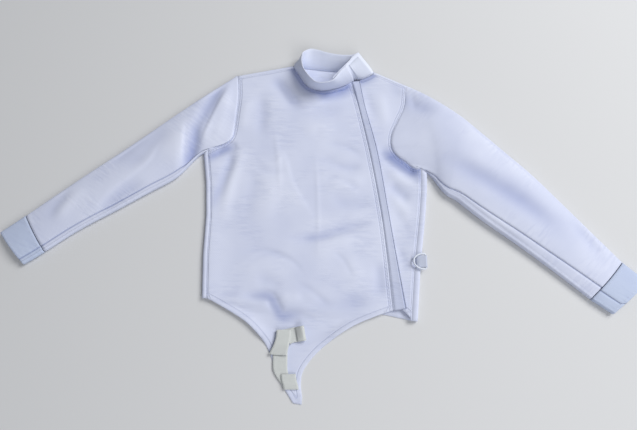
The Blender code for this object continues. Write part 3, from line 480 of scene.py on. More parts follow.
def wall(name, points, faces, thickness, material, stored=None, bulge=0.3):
    """Closed thin wall round a sheet, with a soft rim; stored has values to keep at its points."""
    points = np.asarray(points, float)
    count = len(points)
    sheet = new_mesh(name, points, faces)
    normals = np.array([n.vector[:] for n in sheet.vertex_normals])
    bpy.data.meshes.remove(sheet)
    used = {(a, b): True for face in faces for a, b in zip(face, (*face[1:], face[0]))}
    rim = [(a, b) for a, b in used if (b, a) not in used]
    follow = {a: b for a, b in rim}
    before = {b: a for a, b in rim}
    order = {a: 2 * count + i for i, a in enumerate(follow)}
    middle = []
    for a in follow:
        out = np.cross(points[follow[a]] - points[before[a]], normals[a])
        out /= np.linalg.norm(out) + 1e-12
        middle.append(points[a] + out * thickness * bulge)
    half = normals * thickness / 2
    every = np.vstack([points + half, points - half, middle])
    solid = [tuple(f) for f in faces] + [tuple(i + count for i in f[::-1]) for f in faces]
    for a, b in rim:
        solid += [(b, a, order[a], order[b]), (order[b], order[a], a + count, b + count)]
    mesh = new_mesh(name, out_box(every), solid)
    mesh.shade_smooth()
    for key, plain in (("seam", AWAY), ("stitched", AWAY), ("hollow", 0.0)):
        values = np.full(len(every), plain, np.float32)
        if stored and key in stored:
            values[:2 * count] = np.tile(stored[key], 2)
        mesh.attributes.new(key, "FLOAT", "POINT").data.foreach_set("value", values)
    return put(name, mesh, material)


def rides(obj, *solids, body="jacket"):
    """The piece moves with its body and stands for its solids."""
    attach(obj, body)
    if solids:
        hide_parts(*solids)
    print(obj.name, len(obj.data.polygons), "faces")
    return obj


print("cloth is", WALL, "mm thick, and its points are", GRID, "mm apart")

# %% [markdown]
# ## Heights of the body
# The back lies flat and turns up over soft rolls at the sides and shoulders. The fronts lie on it,
# a little lifted, rise to meet the rolls, and come down to the ground beyond the back's
# hem, where the tail lies. Simulated cloth would not keep its seams together, so the height is
# one function of the place in the plan, and all that is sewn to the fronts takes it from there.

# %% Body lines


def out_of(side):
    """Direction from the body's middle to a side."""
    return -1.0 if side == "right" else 1.0


def fold_x(side, y):
    """How far out a side's roll reaches."""
    table = np.array(SIDE_FOLD[side], float)
    return np.interp(y, table[:, 0], table[:, 1])


def seam_levels(side, step):
    """Y of the points along a side seam, from the hem to the armpit."""
    ys = smooth_line(SIDE_FOLD[side], step)[:, 0]
    return np.append(ys, ys[-1] + ARMPIT_SLANT * (ROLL + SIDE_WRAP[side]) * np.array([0.35, 0.7, 1.0]))


def side_seam(side, gap=0.0, step=GRID):
    """Line where the back's cloth ends on the front, or one further in by a gap."""
    ys = seam_levels(side, step)
    return np.column_stack([fold_x(side, ys) - out_of(side) * (ROLL + SIDE_WRAP[side] + gap), ys])


def shoulder_frame(side):
    """Neck end, direction to the arm, outward normal and length of a shoulder's tangent line."""
    neck, arm = (np.array(p, float) for p in SHOULDER_FOLD[side])
    along = arm - neck
    length = np.linalg.norm(along)
    along /= length
    normal = np.array([-along[1], along[0]])
    if normal[1] < 0:
        normal = -normal
    return neck - normal * ROLL, along, normal, length


def shoulder_seam(side, gap=0.0, step=GRID):
    """The same at a shoulder, from the neck to the arm."""
    start, along, normal, length = shoulder_frame(side)
    start = start - normal * (SHOULDER_WRAP + gap)
    return smooth_line([start, start + along * length], step)


print("right side seam is", len(side_seam("right")), "points")

# %% Armholes and closing


def front_armhole(side, count):
    """Edge of a front at the arm, from the shoulder to the armpit."""
    return smooth_line([shoulder_seam(side, SEAM)[-1]] + FRONT_ARMHOLE[side]
                       + [side_seam(side, SEAM)[-1]], count=count)


def back_armhole(side, count):
    """Edge of the back at the arm, from the armpit to the shoulder."""
    y = SIDE_FOLD[side][-1][0]
    first = (fold_x(side, y) - out_of(side) * ROLL, y + ARMPIT_SLANT * ROLL)
    start, along, _, length = shoulder_frame(side)
    return smooth_line([first] + BACK_ARMHOLE[side] + [start + along * length], count=count)


def closing_line(part, count=130):
    """Line down the flap at a share of its width, 0 at its seam and 1 at its free edge."""
    table = np.array(CLOSING, float)
    return smooth_line(table[:, :2] * (1 - part) + table[:, 2:] * part, count=count)


print("the closing runs from", closing_line(0.0)[0].round(), "to", closing_line(0.0)[-1].round())

# %% Heights
CLOSE_SEAM = np.array(CLOSING, float)[:, :2]
HEM_EDGE = [(-246, -187)] + HEM_SIDE[:-1] + [(-40, -330)] + HEM_FRONT[3:] + [(188, -212), (205, -234)]
HEM_STAND, HEM_WIDTH = 7.0, 15.0        # the turned hem is stiff and stands off the floor
STAND_FROM, STAND_TO = -290, -250       # the tail below these lies flat
ZIP_WIDTH, ZIP_LEVEL = 22.0, 4.7        # the zip is stiff: cloth this near to it lies level
ZIP_STIFF = 0.75                        # share of a fold that it takes away


def lie(x, y):
    """Height of the middle of the fronts' cloth."""
    x, y = np.asarray(x, float), np.asarray(y, float)
    edge = np.zeros(x.shape)
    for side in SIDES:
        for line in (side_seam(side, 0, 24), shoulder_seam(side, 0, 40)):
            edge = np.maximum(edge, np.exp(-(nearest(x, y, line)[0] / SPREAD) ** 2))
    near_zip = np.exp(-(nearest(x, y, CLOSE_SEAM)[0] / ZIP_WIDTH) ** 2)
    rest = REST + relief(x, y, BODY_FOLDS) * (1 - ZIP_STIFF * near_zip)
    floor = LEAST + SEAM + (ZIP_LEVEL - LEAST) * near_zip
    height = np.maximum(rest * (1 - edge) + TOP * edge, floor)
    table = np.array(BACK_HEM, float)
    past = ease((np.interp(x, table[:, 0], table[:, 1]) - y) / DROP)
    height = height + (FLAT - height) * past
    hem = np.exp(-(nearest(x, y, np.array(HEM_EDGE, float))[0] / HEM_WIDTH) ** 2)
    hem = hem * ease((y - STAND_FROM) / (STAND_TO - STAND_FROM))
    return np.maximum(height, FLAT + HEM_STAND * hem)


print("chest lies at", round(float(lie(-60.0, 60.0)), 2), "mm")

# %% [markdown]
# ## Collar
# A stand collar, one band that is longer than the neck: it starts inside, goes round the
# back and ends on top, over hook-and-loop tape. Lying down it collapses: the front stands, the
# back leans away, and the right wall leans in with a hard fold at the shoulder. A straight band
# bent by a modifier could not do both, so it is lofted between its neck edge and its rim from a
# short table.

# %% Collar's table
COLLAR_ROWS = [
    # neck edge x, y, level (1 on the fronts, 0 on the back), rim x, y, z
    (48, 325.8, 1, 32, 320.5, 50),
    (66, 333.4, 1, 48, 341, 49),
    (86, 344.6, 1, 63.4, 359.4, 46),
    (104, 344.5, 1, 73, 374, 40),
    (120, 350, 1, 81, 387, 36.5),
    (130.6, 357, 1, 89, 397, 33.5),
    (134.4, 364.6, 0.5, 95.5, 403, 31),
    (131.4, 362.8, 0, 96.5, 405, 28.5),
    (114, 366.5, 0, 91, 402.5, 27.5),
    (84, 367, 0, 78, 399, 28),
    (50, 368.5, 0, 50, 400, 28),
    (20, 371, 0, 20, 406, 28),
    (0, 373.5, 0, 0, 413, 28),
    (-26, 377, 0, -20, 415, 30),
    (-48, 379.5, 0, -36, 401, 38),
    (-57.8, 379.2, 0, -39, 389, 43),
    (-60.3, 381.3, 0.5, -40, 377, 46),
    (-57.5, 373, 1, -39, 363, 48),
    (-47, 356, 1, -35, 347, 50),
    (-31, 331, 1, -22, 326, 52),
    (-13, 319, 1, -6, 311, 52),
    (13, 315, 1, 14, 309, 52),
    (45, 321.5, 1, 34, 316, 52),
    (66, 329.5, 1, 50, 337, 52),
    (86, 340.5, 1, 66, 355, 50),
]
COLLAR_SPLIT = 6                # facets between two rows of the table
COLLAR_BOW, COLLAR_LEAN = 0.6, 1.5      # it bows outward, and leans more the higher it gets
LEAN_ROOM = 0.4                 # room beside the neck edge for that lean
CORNER_LEFT, CORNER_RIGHT = 6, 16       # rows of the table at the two shoulders
print("collar rows", len(COLLAR_ROWS))

# %% Lofting


def loft(rings, splits):
    """Rings with smooth ones added between them, splits facets to a span."""
    rings = np.array(rings, float)
    ends = np.concatenate([[2 * rings[0] - rings[1]], rings, [2 * rings[-1] - rings[-2]]])
    result = []
    for number, split in enumerate(splits):
        four = ends[number:number + 4]
        result += [between(*four, t) for t in np.linspace(0, 1, split, endpoint=False)]
    result.append(rings[-1])
    return np.array(result)


def bridge(rings, closed):
    """Quads between rows of points; closed joins each row's last point to its first."""
    size = len(rings[0])
    steps = size if closed else size - 1
    faces = []
    for row in range(len(rings) - 1):
        for i in range(steps):
            j = (i + 1) % size
            a, b = row * size, (row + 1) * size
            faces.append((a + i, a + j, b + j, b + i))
    return np.vstack(rings), faces


def collar_rows(heights):
    """Rows of points from neck edge to rim, at shares of the height, along the whole band."""
    table = np.array(COLLAR_ROWS, float)
    table[:, 2] = FLAT + (lie(table[:, 0], table[:, 1]) - FLAT) * table[:, 2]
    rows = loft(table, [COLLAR_SPLIT] * (len(table) - 1))
    outward = np.column_stack([normals_of(rows[:, :2]), np.zeros(len(rows))])
    result = []
    for row, normal in zip(rows, outward):
        neck, rim = row[:3], row[3:]
        column = []
        for v in heights:
            point = neck * (1 - v) + rim * v
            point[:2] = neck[:2] + (rim[:2] - neck[:2]) * v ** COLLAR_LEAN
            column.append(point + normal * COLLAR_BOW * 4 * v * (1 - v))
        result.append(column)
    return np.array(result)


def neckline(first, last, sign=1):
    """Plan line beside the collar's neck edge, outside it, or inside it with sign -1."""
    neck = collar_rows([0.0])[:, 0]
    moved = neck[:, :2] + normals_of(neck) * sign * (WALL / 2 + SEAM + LEAN_ROOM)
    return moved[first * COLLAR_SPLIT:last * COLLAR_SPLIT + 1]


print("neck edge of the right front is", len(neckline(CORNER_RIGHT + 1, len(COLLAR_ROWS) - 2)), "points")

# %% Collar
points, faces = bridge(collar_rows(np.linspace(0, 1, 15)), closed=False)
collar = rides(wall("stand_collar", points, faces, WALL + 0.2, COLLAR_TWILL), "collar")

# %% [markdown]
# ## Back
# The back is one panel. Its cut is wider than the lying jacket: the extra cloth rolls up at both
# sides and over the shoulders and ends at the seams on the front. The cut is
# filled with points and each one is bent to its place round the rolls.

# %% Bending the back


def across(side, y, slant=0.0, steps=9):
    """Pattern points from a side's tangent line out over the roll to the seam."""
    reach = np.append(np.linspace(0, math.pi * ROLL, steps), math.pi * ROLL + SIDE_WRAP[side])
    inset = ROLL * (1 - np.sin(np.minimum(reach / ROLL, math.pi)))
    inset = inset + np.maximum(0, reach - math.pi * ROLL)
    tangent = fold_x(side, y) - out_of(side) * ROLL
    return np.column_stack([tangent + out_of(side) * reach, y + slant * inset])


def strip_points(start, normal, steps=9):
    """The same from a point of a shoulder's tangent line."""
    reach = np.append(np.linspace(0, math.pi * ROLL, steps), math.pi * ROLL + SHOULDER_WRAP)
    return start + reach[:, None] * normal


def wrapped(plan):
    """Place of the back's pattern points once its edges are turned up and over."""
    x, y = plan[:, 0], plan[:, 1]
    beyond = np.zeros(len(plan))
    base, normal = plan.copy(), np.zeros((len(plan), 2))
    for side in SIDES:
        tangent = fold_x(side, y) - out_of(side) * ROLL
        reach = (x - tangent) * out_of(side)
        top = SIDE_FOLD[side][-1][0] + ARMPIT_SLANT * (ROLL + SIDE_WRAP[side]) + 1
        start, along, outward, length = shoulder_frame(side)
        run = (plan - start) @ along
        for over, way, foot, near in (
                (reach, (out_of(side), 0), np.column_stack([tangent, y]), y <= top),
                ((plan - start) @ outward, outward, start + run[:, None] * along,
                 (run > -1) & (run < length + 1))):
            hit = near & (over > beyond)
            beyond = np.where(hit, over, beyond)
            base[hit] = foot[hit]
            normal[hit] = way
    angle = np.minimum(beyond / ROLL, math.pi)
    past = np.maximum(0, beyond - math.pi * ROLL)
    flat = base + normal * (ROLL * np.sin(angle) - past)[:, None]
    return np.column_stack([flat, FLAT + ROLL * (1 - np.cos(angle))])


print("cloth past the right side's tangent line", round(math.pi * ROLL + SIDE_WRAP["right"], 1), "mm")

# %% Filling a cut
ROW_STEP = 0.866            # rows of a grid of equal triangles, in its own spacing
CLEAR, EXTRA_CLEAR = 0.45, 0.4      # least way to the outline: shares of the grid, and millimetres


def fill(outline, grid, extra=None):
    """Points and triangles that cover an outline: a staggered grid and any extra points."""
    low, high = outline.min(axis=0), outline.max(axis=0)
    spots = []
    for number, y in enumerate(np.arange(low[1] + grid / 2, high[1], grid * ROW_STEP)):
        row = np.arange(low[0] + (number % 2) * grid / 2, high[0], grid)
        spots.append(np.column_stack([row, np.full(len(row), y)]))
    spots = np.vstack(spots)
    closed = np.vstack([outline, outline[:1]])
    if extra is not None:
        cells = {tuple(c) for c in np.round(extra / grid).astype(int)}
        far = [not any((c[0] + i, c[1] + j) in cells for i in (-1, 0, 1) for j in (-1, 0, 1))
               for c in np.round(spots / grid).astype(int)]
        spots = np.vstack([spots[far], extra])
    gap = np.abs(nearest(spots[:, 0], spots[:, 1], closed)[0])
    limit = np.full(len(spots), grid * CLEAR)
    if extra is not None:
        limit[-len(extra):] = EXTRA_CLEAR
    keep = inside(spots[:, 0], spots[:, 1], outline) & (gap > limit)
    points = [Vector(p) for p in outline] + [Vector(p) for p in spots[keep]]
    count = len(outline)
    edges = [(i, (i + 1) % count) for i in range(count)]
    verts, _, faces, *_ = delaunay_2d_cdt(points, edges, [], 1, 1e-6)
    return np.array([v[:] for v in verts]), faces


square = np.array([(0, 0), (60, 0), (60, 60), (0, 60)], float)
print("a square of 60 mm is filled with", len(fill(square, GRID)[1]), "triangles")

# %% Back
lines = [smooth_line([(fold_x("right", -187) + ROLL, -187)] + BACK_HEM[1:-1]
                     + [(fold_x("left", -236) - ROLL, -236)], 8)]
extra = []
for side in ("left", "right"):
    ys = seam_levels(side, 6)
    tangent = fold_x(side, ys) - out_of(side) * ROLL
    seam = np.column_stack([tangent + out_of(side) * (math.pi * ROLL + SIDE_WRAP[side]), ys])
    start, along, normal, length = shoulder_frame(side)
    top = start + normal * (math.pi * ROLL + SHOULDER_WRAP)
    parts = [across(side, ys[0]), seam, across(side, SIDE_FOLD[side][-1][0], ARMPIT_SLANT)[::-1],
             back_armhole(side, 40), strip_points(start + along * length, normal),
             smooth_line([top + along * length, top], 6), strip_points(start, normal)[::-1]]
    if side == "left":
        lines += parts + [neckline(CORNER_LEFT + 2, CORNER_RIGHT - 2, -1)]
    else:
        lines += [part[::-1] for part in parts[::-1]]
    for y in ys[1:-4]:
        extra.extend(across(side, y)[:-1])
    for at in np.arange(6, length - 3, 6):
        extra.extend(strip_points(start + along * at, normal)[:-1])
outline = joined(*lines)
plan, faces = fill(outline, 9, np.array(extra))
back = rides(wall("back_panel", wrapped(plan), faces, WALL, BODY_TWILL), "back")

# %% [markdown]
# ## Fronts
# The two fronts are cut pieces filled with points about four millimetres apart, and each point
# takes its height from the body's lie. A subdivided plane would not follow the cut. Near a seam
# the cloth dips, because both edges are turned inside and pulled down by the stitches.

# %% Front panels
SEAM_DIP, DIP_WIDTH = 0.38, 2.4         # how far an edge is pulled down at a seam, and how wide
FREE_REACH, FREE_HEM = 5.0, -180.0      # no dip this near to the closing seam, nor below this
NECK_SHADE = 8.0            # how deep in shade the cloth is that the collar is sewn to
NECK_FROM, NECK_WIDTH = 3.0, 12.0       # how far from the neck that shade starts, and its width
HEM_INSET, TWIN = 9.5, 2.4              # how far in a hem is stitched; half the way between twin rows


def marks(x, y, rows):
    """Distance to the nearest row of stitches; a row, or a pair of them, lies in from a line."""
    best = np.full(np.shape(x), AWAY)
    for line, inset, half in rows:
        edge = np.abs(nearest(x, y, line)[0])
        value = np.abs(edge - inset) - half if half else edge - inset
        best = np.where(np.abs(value) < np.abs(best), value, best)
    return best


def front_panel(side, name, solid, outline, neck, rows):
    """A front cut to its outline; rows are its own rows of stitches, beside the ones at its seams."""
    plan, faces = fill(outline, GRID)
    x, y = plan.T
    edge = np.abs(nearest(x, y, np.vstack([outline, outline[:1]]))[0])
    z = lie(x, y)
    sewn = (np.abs(nearest(x, y, CLOSE_SEAM)[0]) > FREE_REACH) & (y > FREE_HEM)
    z = z - np.minimum(SEAM_DIP, z - FLAT) * np.exp(-(edge / DIP_WIDTH) ** 2) * sewn
    past = np.maximum(0, np.abs(nearest(x, y, neck)[0]) - NECK_FROM)
    rows = rows + [(neck, 6.5, 1.6), (front_armhole(side, 40), 6.5, TWIN),
                   (side_seam(side, SEAM, 20), 3.0, 0), (shoulder_seam(side, SEAM, 40), 3.5, 0)]
    # Painted shade: the twill darkens the folds' troughs, and a band along the neck as a painted shadow of
    # the collar.
    stored = {"hollow": relief(x, y, BODY_FOLDS) - NECK_SHADE * np.exp(-(past / NECK_WIDTH) ** 2),
              "stitched": marks(x, y, rows)}
    obj = rides(wall(name, np.column_stack([x, y, z]), faces, WALL, BODY_TWILL, stored), solid)
    return obj


print("seams dip", SEAM_DIP, "mm")

# %% Right front with its tail
seam_line = closing_line(0.0)
right_neck = neckline(CORNER_RIGHT + 1, len(COLLAR_ROWS) - 2)
hem_right = np.vstack([smooth_line([side_seam("right", SEAM)[0]] + HEM_SIDE, GRID),
                       smooth_line(TAIL_TIP, GRID),
                       smooth_line(HEM_FRONT + [tuple(seam_line[-1])], GRID)])
outline = joined(hem_right, seam_line[::-1], right_neck[::-1], shoulder_seam("right", SEAM),
                 front_armhole("right", 60), side_seam("right", SEAM)[::-1])
right_front = front_panel("right", "right_front_with_tail", "front_right", outline,
                          right_neck, [(hem_right, HEM_INSET, 0), (seam_line, 5.5, 2.2)])

# %% Left front
edge_line = closing_line(LEFT_EDGE)
left_neck = neckline(3, CORNER_LEFT - 1)
hem_left = smooth_line([edge_line[-1]] + LEFT_HEM + [side_seam("left", SEAM)[0]], GRID)
outline = joined(hem_left, side_seam("left", SEAM), front_armhole("left", 60)[::-1],
                 shoulder_seam("left", SEAM)[::-1], left_neck[::-1], edge_line)
left_front = front_panel("left", "left_front", "front_left", outline,
                         left_neck, [(hem_left, HEM_INSET, 0)])

# %% [markdown]
# ## Flap and zip
# The flap is a double strip, sewn to the edge of the right front and lying over the zip. Its seam
# edge is level with the front, then it steps up over the chain. Where the slider rests
# under it, near the collar, it swells. The zip under it is closed; only its foot shows
# at the hem.

# %% Flap
FLAP_RISE, FLAP_WIDE = 2.3, 29.0
FLAP_PARTS = (0.0, 0.07, 0.14, 0.2, 0.3, 0.42, 0.54, 0.66, 0.78, 0.84, 0.88, 0.91, 0.94, 0.97, 1.0)
STEP_FROM, STEP_WIDE = 0.07, 0.15       # shares of the width over which it climbs over the chain
FLAP_CREASE = 0.91                      # and the one at which its free edge is pressed, drawn as a valley with painted shade
SLIDER_Y, SLIDER_BUMP, SLIDER_SPREAD = 312.0, 1.1, 22.0
rows = []
for part in FLAP_PARTS:
    line = closing_line(part)
    bump = SLIDER_BUMP * np.exp(-((line[:, 1] - SLIDER_Y) / SLIDER_SPREAD) ** 2)
    rise = FLAP_RISE * ease((part - STEP_FROM) / STEP_WIDE) * (1 + bump)
    wave = 0.35 * np.sin(line[:, 1] / 23.0) * part + 0.3 * np.sin(line[:, 1] / 9.0 + 1) * part ** 2
    curl = 1.3 * part ** 4
    rows.append(np.column_stack([line, lie(*line.T) + rise + (wave + curl)]))
rows[0][:, :2] -= normals_of(rows[0]) * SEAM
points, faces = bridge(rows, closed=False)
# Painted shade: a seam distance stored near the free edge makes the twill draw a dark shade line there.
pressed_edge_and_shade = np.repeat([(FLAP_CREASE - part) * FLAP_WIDE for part in FLAP_PARTS], len(rows[0]))
flap = rides(wall("closing_flap", points, faces, WALL, FLAP_TWILL, {"seam": pressed_edge_and_shade}, 0.15), "zip_flap")

# %% Zip tape
nylon = new_material("polyester_zip_tape", "#C6CCDA", 0.7, "zip_nylon")[0]
TAPE_HALF, TAPE_THICK = 13.0, 0.7
ZIP_TOP, ZIP_DEPTH = 5.2, 1.75          # the zip lies this far below the cloth, and no higher


def swept(name, line, section, material):
    """Closed band: one cross-section carried along a line of the plan."""
    rings = [[(*(point[:2] + normal * u), point[2] + z) for u, z in section]
             for point, normal in zip(line, -normals_of(line))]
    points, faces = bridge(np.array(rings), closed=True)
    size, last = len(section), (len(rings) - 1) * len(section)
    faces = [f[::-1] for f in faces]
    faces.append(tuple(range(size)))
    faces.append(tuple(last + i for i in range(size))[::-1])
    return put(name, new_mesh(name, out_box(points), faces), material)


line = closing_line(ZIP_LINE, 260)[10:-2]
track = np.column_stack([line, np.minimum(lie(*line.T), ZIP_TOP) - ZIP_DEPTH])
section = [(-TAPE_HALF, TAPE_THICK / 2), (-TAPE_HALF, -TAPE_THICK / 2),
           (TAPE_HALF, -TAPE_THICK / 2), (TAPE_HALF, TAPE_THICK / 2)]
tape = rides(swept("zip_tape", track[::4], section, nylon), "zip")

# %% Zip chain and slider
enamel = new_material("white_enamelled_zinc", "#D5DAE4", 0.4, "painted_zip_metal")[0]
TOOTH = [(-2.4, -0.75), (-2.4, 0.75), (2.4, 0.75), (2.4, -0.75)]     # corners: across, along
TOOTH_SHIFT = 0.5           # the teeth come from either side in turn
TOOTH_FOOT, TOOTH_TOP = 0.4, 1.15       # heights over the middle of the tape
TAPER = (0.85, 0.7)         # width and length of a tooth at its top, as shares of its foot
teeth, tooth_faces = [], []
for number, (point, normal) in enumerate(zip(track, -normals_of(track))):
    shift = TOOTH_SHIFT if number % 2 else -TOOTH_SHIFT
    along = np.array([normal[1], -normal[0]])
    for u, w in TOOTH:
        teeth.append((*(point[:2] + normal * (u + shift) + along * w), point[2] + TOOTH_FOOT))
        top = point[:2] + normal * (u * TAPER[0] + shift) + along * w * TAPER[1]
        teeth.append((*top, point[2] + TOOTH_TOP))
    k = number * 8
    tooth_faces += [(k, k + 2, k + 4, k + 6), (k + 7, k + 5, k + 3, k + 1)]
    tooth_faces += [(k + 2 * i, k + 2 * i + 1, k + (2 * i + 3) % 8, k + (2 * i + 2) % 8) for i in range(4)]
rides(put("zip_teeth", new_mesh("zip_teeth", out_box(teeth), tooth_faces), nylon))
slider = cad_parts["zip_slider"]
slider.data.materials.clear()
slider.data.materials.append(enamel)
print("slider", slider.name)

# %% [markdown]
# ## Sleeves and cuffs
# A sleeve is a tube. It leaves the armhole at the same height as the panels it is sewn to, puffs
# up, and lies flattened with its underarm seam showing along the lower edge. A bent cylinder
# would not meet the armhole, so each tube is lofted from the armhole through a table of sections.
# Its folds are added on the upper side, and the twill paints shade in their troughs. The underarm
# seam is a distance stored on the cloth, which the twill draws as a narrow valley with painted shade.

# %% Sleeve tables
SLEEVE_ROWS = {
    # x, y of the upper edge, x, y of the lower edge, height, radius of the edge rolls
    "right": [(-216, 340, -283, 140, 15, 5.0), (-262, 307, -307, 111, 19, 5.5),
              (-325, 258, -322, 93, 21, 6.0), (-385, 210, -345, 76, 20, 6.0),
              (-445, 162, -385, 53, 19, 6.0), (-527, 99, -455, 11, 18, 6.0),
              (-600, 42, -535, -36, 17, 5.5), (-657, -4, -604, -85, 16, 5.5)],
    "left": [(238, 313, 266, 85, 18, 5.5), (275, 290, 278, 64, 24, 7.0),
             (330, 250, 290, 47, 29, 8.0), (385, 197, 312, 33, 31, 8.5),
             (435, 147, 335, 13, 31, 8.5), (490, 92, 372, -18, 30, 8.0),
             (555, 17, 440, -70, 27, 7.2), (612, -50, 508, -125, 23, 6.5),
             (663, -110, 583, -189, 19, 6.0)],
}
CUFF_ROWS = {
    "right": [(-658.5, -4.8, -605.2, -86.2, 16.5, 5.8), (-684, -25, -626, -101, 17, 6.0),
              (-708, -43, -646, -114, 17, 6.0)],
    "left": [(664.3, -111.4, 584.3, -190.4, 19.5, 6.2), (688, -133, 606, -206, 19, 6.2),
             (709, -153, 627, -221, 19, 6.2)],
}
UNDERARM = {
    # share of the sleeve's length, width of the band of back cloth that shows below the seam
    "right": [(0, 1), (0.07, 6), (0.2, 7), (1, 7)],
    "left": [(0, 1), (0.07, 4), (0.3, 5), (0.6, 10), (0.85, 19), (1, 26)],
}
SLEEVE_FOLDS = {
    "right": [
        # rise, width, reach, path
        (3.2, 11, 30, [(-279, 160), (-270, 198), (-254, 244), (-237, 287), (-214, 336)]),
        (-2.6, 15, 0, [(-262, 168), (-250, 226), (-230, 292)]),
        (-6.0, 16, 0, [(-296, 190), (-276, 236), (-256, 284), (-228, 340)]),
        (2.2, 9, 34, [(-317, 236), (-316, 206), (-315, 170), (-314, 112), (-316, 92)]),
        (-9.0, 15, 0, [(-286, 240), (-290, 200), (-294, 160), (-302, 118), (-310, 84)]),
        (1.5, 14, 34, [(-346, 196), (-373, 160), (-388, 126), (-425, 88), (-451, 66), (-479, 38),
                       (-512, -14)]),
        (-2.0, 18, 0, [(-350, 216), (-386, 172), (-412, 134), (-452, 98)]),
        (-1.8, 24, 0, [(-399, 224), (-443, 162), (-476, 90)]),
        (-2.4, 15, 0, [(-390, 82), (-446, 44), (-500, 0)]),
        (-1.6, 14, 0, [(-560, 60), (-590, 20), (-604, -20)]),
        (1.8, 16, 0, [(-520, 66), (-564, 22), (-590, -30)]),
    ],
    "left": [
        (-3.4, 19, 0, [(186, 312), (214, 284), (250, 262), (290, 244)]),
        (-6.0, 24, 0, [(262, 154), (292, 134), (332, 106), (392, 68), (456, 24), (508, -20), (550, -62)]),
        (1.4, 18, 0, [(258, 104), (300, 60), (372, -4), (440, -54), (500, -100)]),
        (1.4, 24, 0, [(300, 246), (370, 190), (440, 124), (520, 30)]),
        (-1.8, 13, 0, [(560, -20), (590, -60), (620, -110)]),
        (1.5, 14, 0, [(590, -10), (620, -50), (640, -90)]),
    ],
}
FRONT_STEPS, ROLL_STEPS, BACK_STEPS = 52, 7, 22     # facets round a tube: top, each roll, bottom
SLEEVE_LEAD = 3.5                               # from the armhole to the sleeve's second ring
SLEEVE_PUFF = {"right": 6.5, "left": 5.5}       # how far that ring rises
OVERHANG = {"right": 1.5, "left": -5.0}         # how far it hangs over the front low on the armhole,
                                                # or, below zero, how far it keeps off it
ARMPIT_ROOM = 5.0                               # seam gaps that it keeps from the roll at the armpit
RELAX_ROWS, RELAX_TIMES = 40, 60                # rings past the armhole that are evened out, how often
print("sleeve folds", {side: len(rows) for side, rows in SLEEVE_FOLDS.items()})

# %% Rings at an armhole


def mitred(a, b):
    """Direction that moves a corner clear of two edges by the same distance."""
    both = a + b
    return both * 2 / (both @ both)


def armhole_rings(side):
    """Closed lines round an armhole: the sleeve's edge, and two more, a little further out."""
    out = out_of(side)
    front = front_armhole(side, FRONT_STEPS)
    front = np.column_stack([front, lie(front[:, 0], front[:, 1])])
    back = back_armhole(side, BACK_STEPS)
    back = np.column_stack([back, np.full(len(back), FLAT)])
    low = wrapped(across(side, SIDE_FOLD[side][-1][0], ARMPIT_SLANT, ROLL_STEPS + 1)[1:-1][::-1])
    start, along, normal, length = shoulder_frame(side)
    high = wrapped(strip_points(start + along * length, normal, ROLL_STEPS + 1)[1:-1])
    front_out, back_out = normals_of(front) * -out, normals_of(back) * out
    up = np.array([out * ARMPIT_SLANT, 1.0]) / math.hypot(ARMPIT_SLANT, 1)
    front_out[0], front_out[-1] = mitred(front_out[0], along), mitred(front_out[-1], up)
    back_out[0], back_out[-1] = mitred(back_out[0], up), mitred(back_out[-1], along)
    edge = np.vstack([front, low, back, high])
    high_way, count = np.tile(along, (len(high), 1)), len(front)
    low_room, low_way = np.tile(up * ARMPIT_ROOM, (len(low), 1)), np.tile([out, 0.0], (len(low), 1))
    edge[:, :2] += np.vstack([front_out, low_room, back_out, high_way]) * SEAM
    further = edge.copy()
    share = np.linspace(0, 1, count)
    low_part = ease((share - 0.55) / 0.3) * ease((1 - share) / 0.12)
    reach = np.full(len(edge), SLEEVE_LEAD)
    reach[:count] -= (SLEEVE_LEAD + OVERHANG[side]) * low_part
    further[:, :2] += np.vstack([front_out, low_way, back_out, high_way]) * reach[:, None]
    puff = np.sin(np.linspace(0.12, math.pi - 0.12, count)) ** 0.5 * (0.35 + 0.65 * low_part)
    edge[:count, 2] -= SEAM_DIP * puff
    further[:count, 2] += SLEEVE_PUFF[side] * puff
    return [edge, further]


print("points round an armhole", len(armhole_rings("left")[0]))

# %% Rings along a tube


def section_ring(row):
    """Flattened tube section between an upper and a lower edge, flat side down."""
    ux, uy, lx, ly, height, roll = row
    upper, lower = np.array([ux, uy]), np.array([lx, ly])
    along = (lower - upper) / np.linalg.norm(lower - upper)
    first, last = upper + along * roll, lower - along * roll
    ring = []
    for q in np.linspace(0, 1, FRONT_STEPS + 1):
        crown = max(0.0, height - FLAT - 2 * roll) * math.sin(math.pi * q) ** 0.8
        ring.append((*(first * (1 - q) + last * q), FLAT + 2 * roll + crown))
    for a in np.linspace(0, math.pi, ROLL_STEPS + 2)[1:-1]:
        ring.append((*(last + along * roll * math.sin(a)), FLAT + roll * (1 + math.cos(a))))
    for q in np.linspace(1, 0, BACK_STEPS + 1):
        ring.append((*(first * (1 - q) + last * q), FLAT))
    for a in np.linspace(0, math.pi, ROLL_STEPS + 2)[1:-1]:
        ring.append((*(first - along * roll * math.sin(a)), FLAT + roll * (1 - math.cos(a))))
    return np.array(ring)


def relax(rings, first):
    """Rows just past the armhole drawn even between their neighbours."""
    last = first + RELAX_ROWS
    for _ in range(RELAX_TIMES):
        neighbours = rings[first - 1:last - 1] + rings[first + 1:last + 1]
        rings[first:last] = (rings[first:last] * 2 + neighbours) / 4
    return rings


print("points round a sleeve", len(section_ring(SLEEVE_ROWS["left"][0])))

# %% Folds and seam of a tube
HOLD = 0.05                 # share of the upper side at each edge where folds die out
SEWN_FADE = 7.0             # rings over which they start, past the armhole
PINCH, PINCH_WIDTH, STEP_DOWN = 1.2, 2.4, 3.0       # underarm seam: depth, width, and its step down
UNDER_STITCH = 3.0          # from that seam to its row of stitches


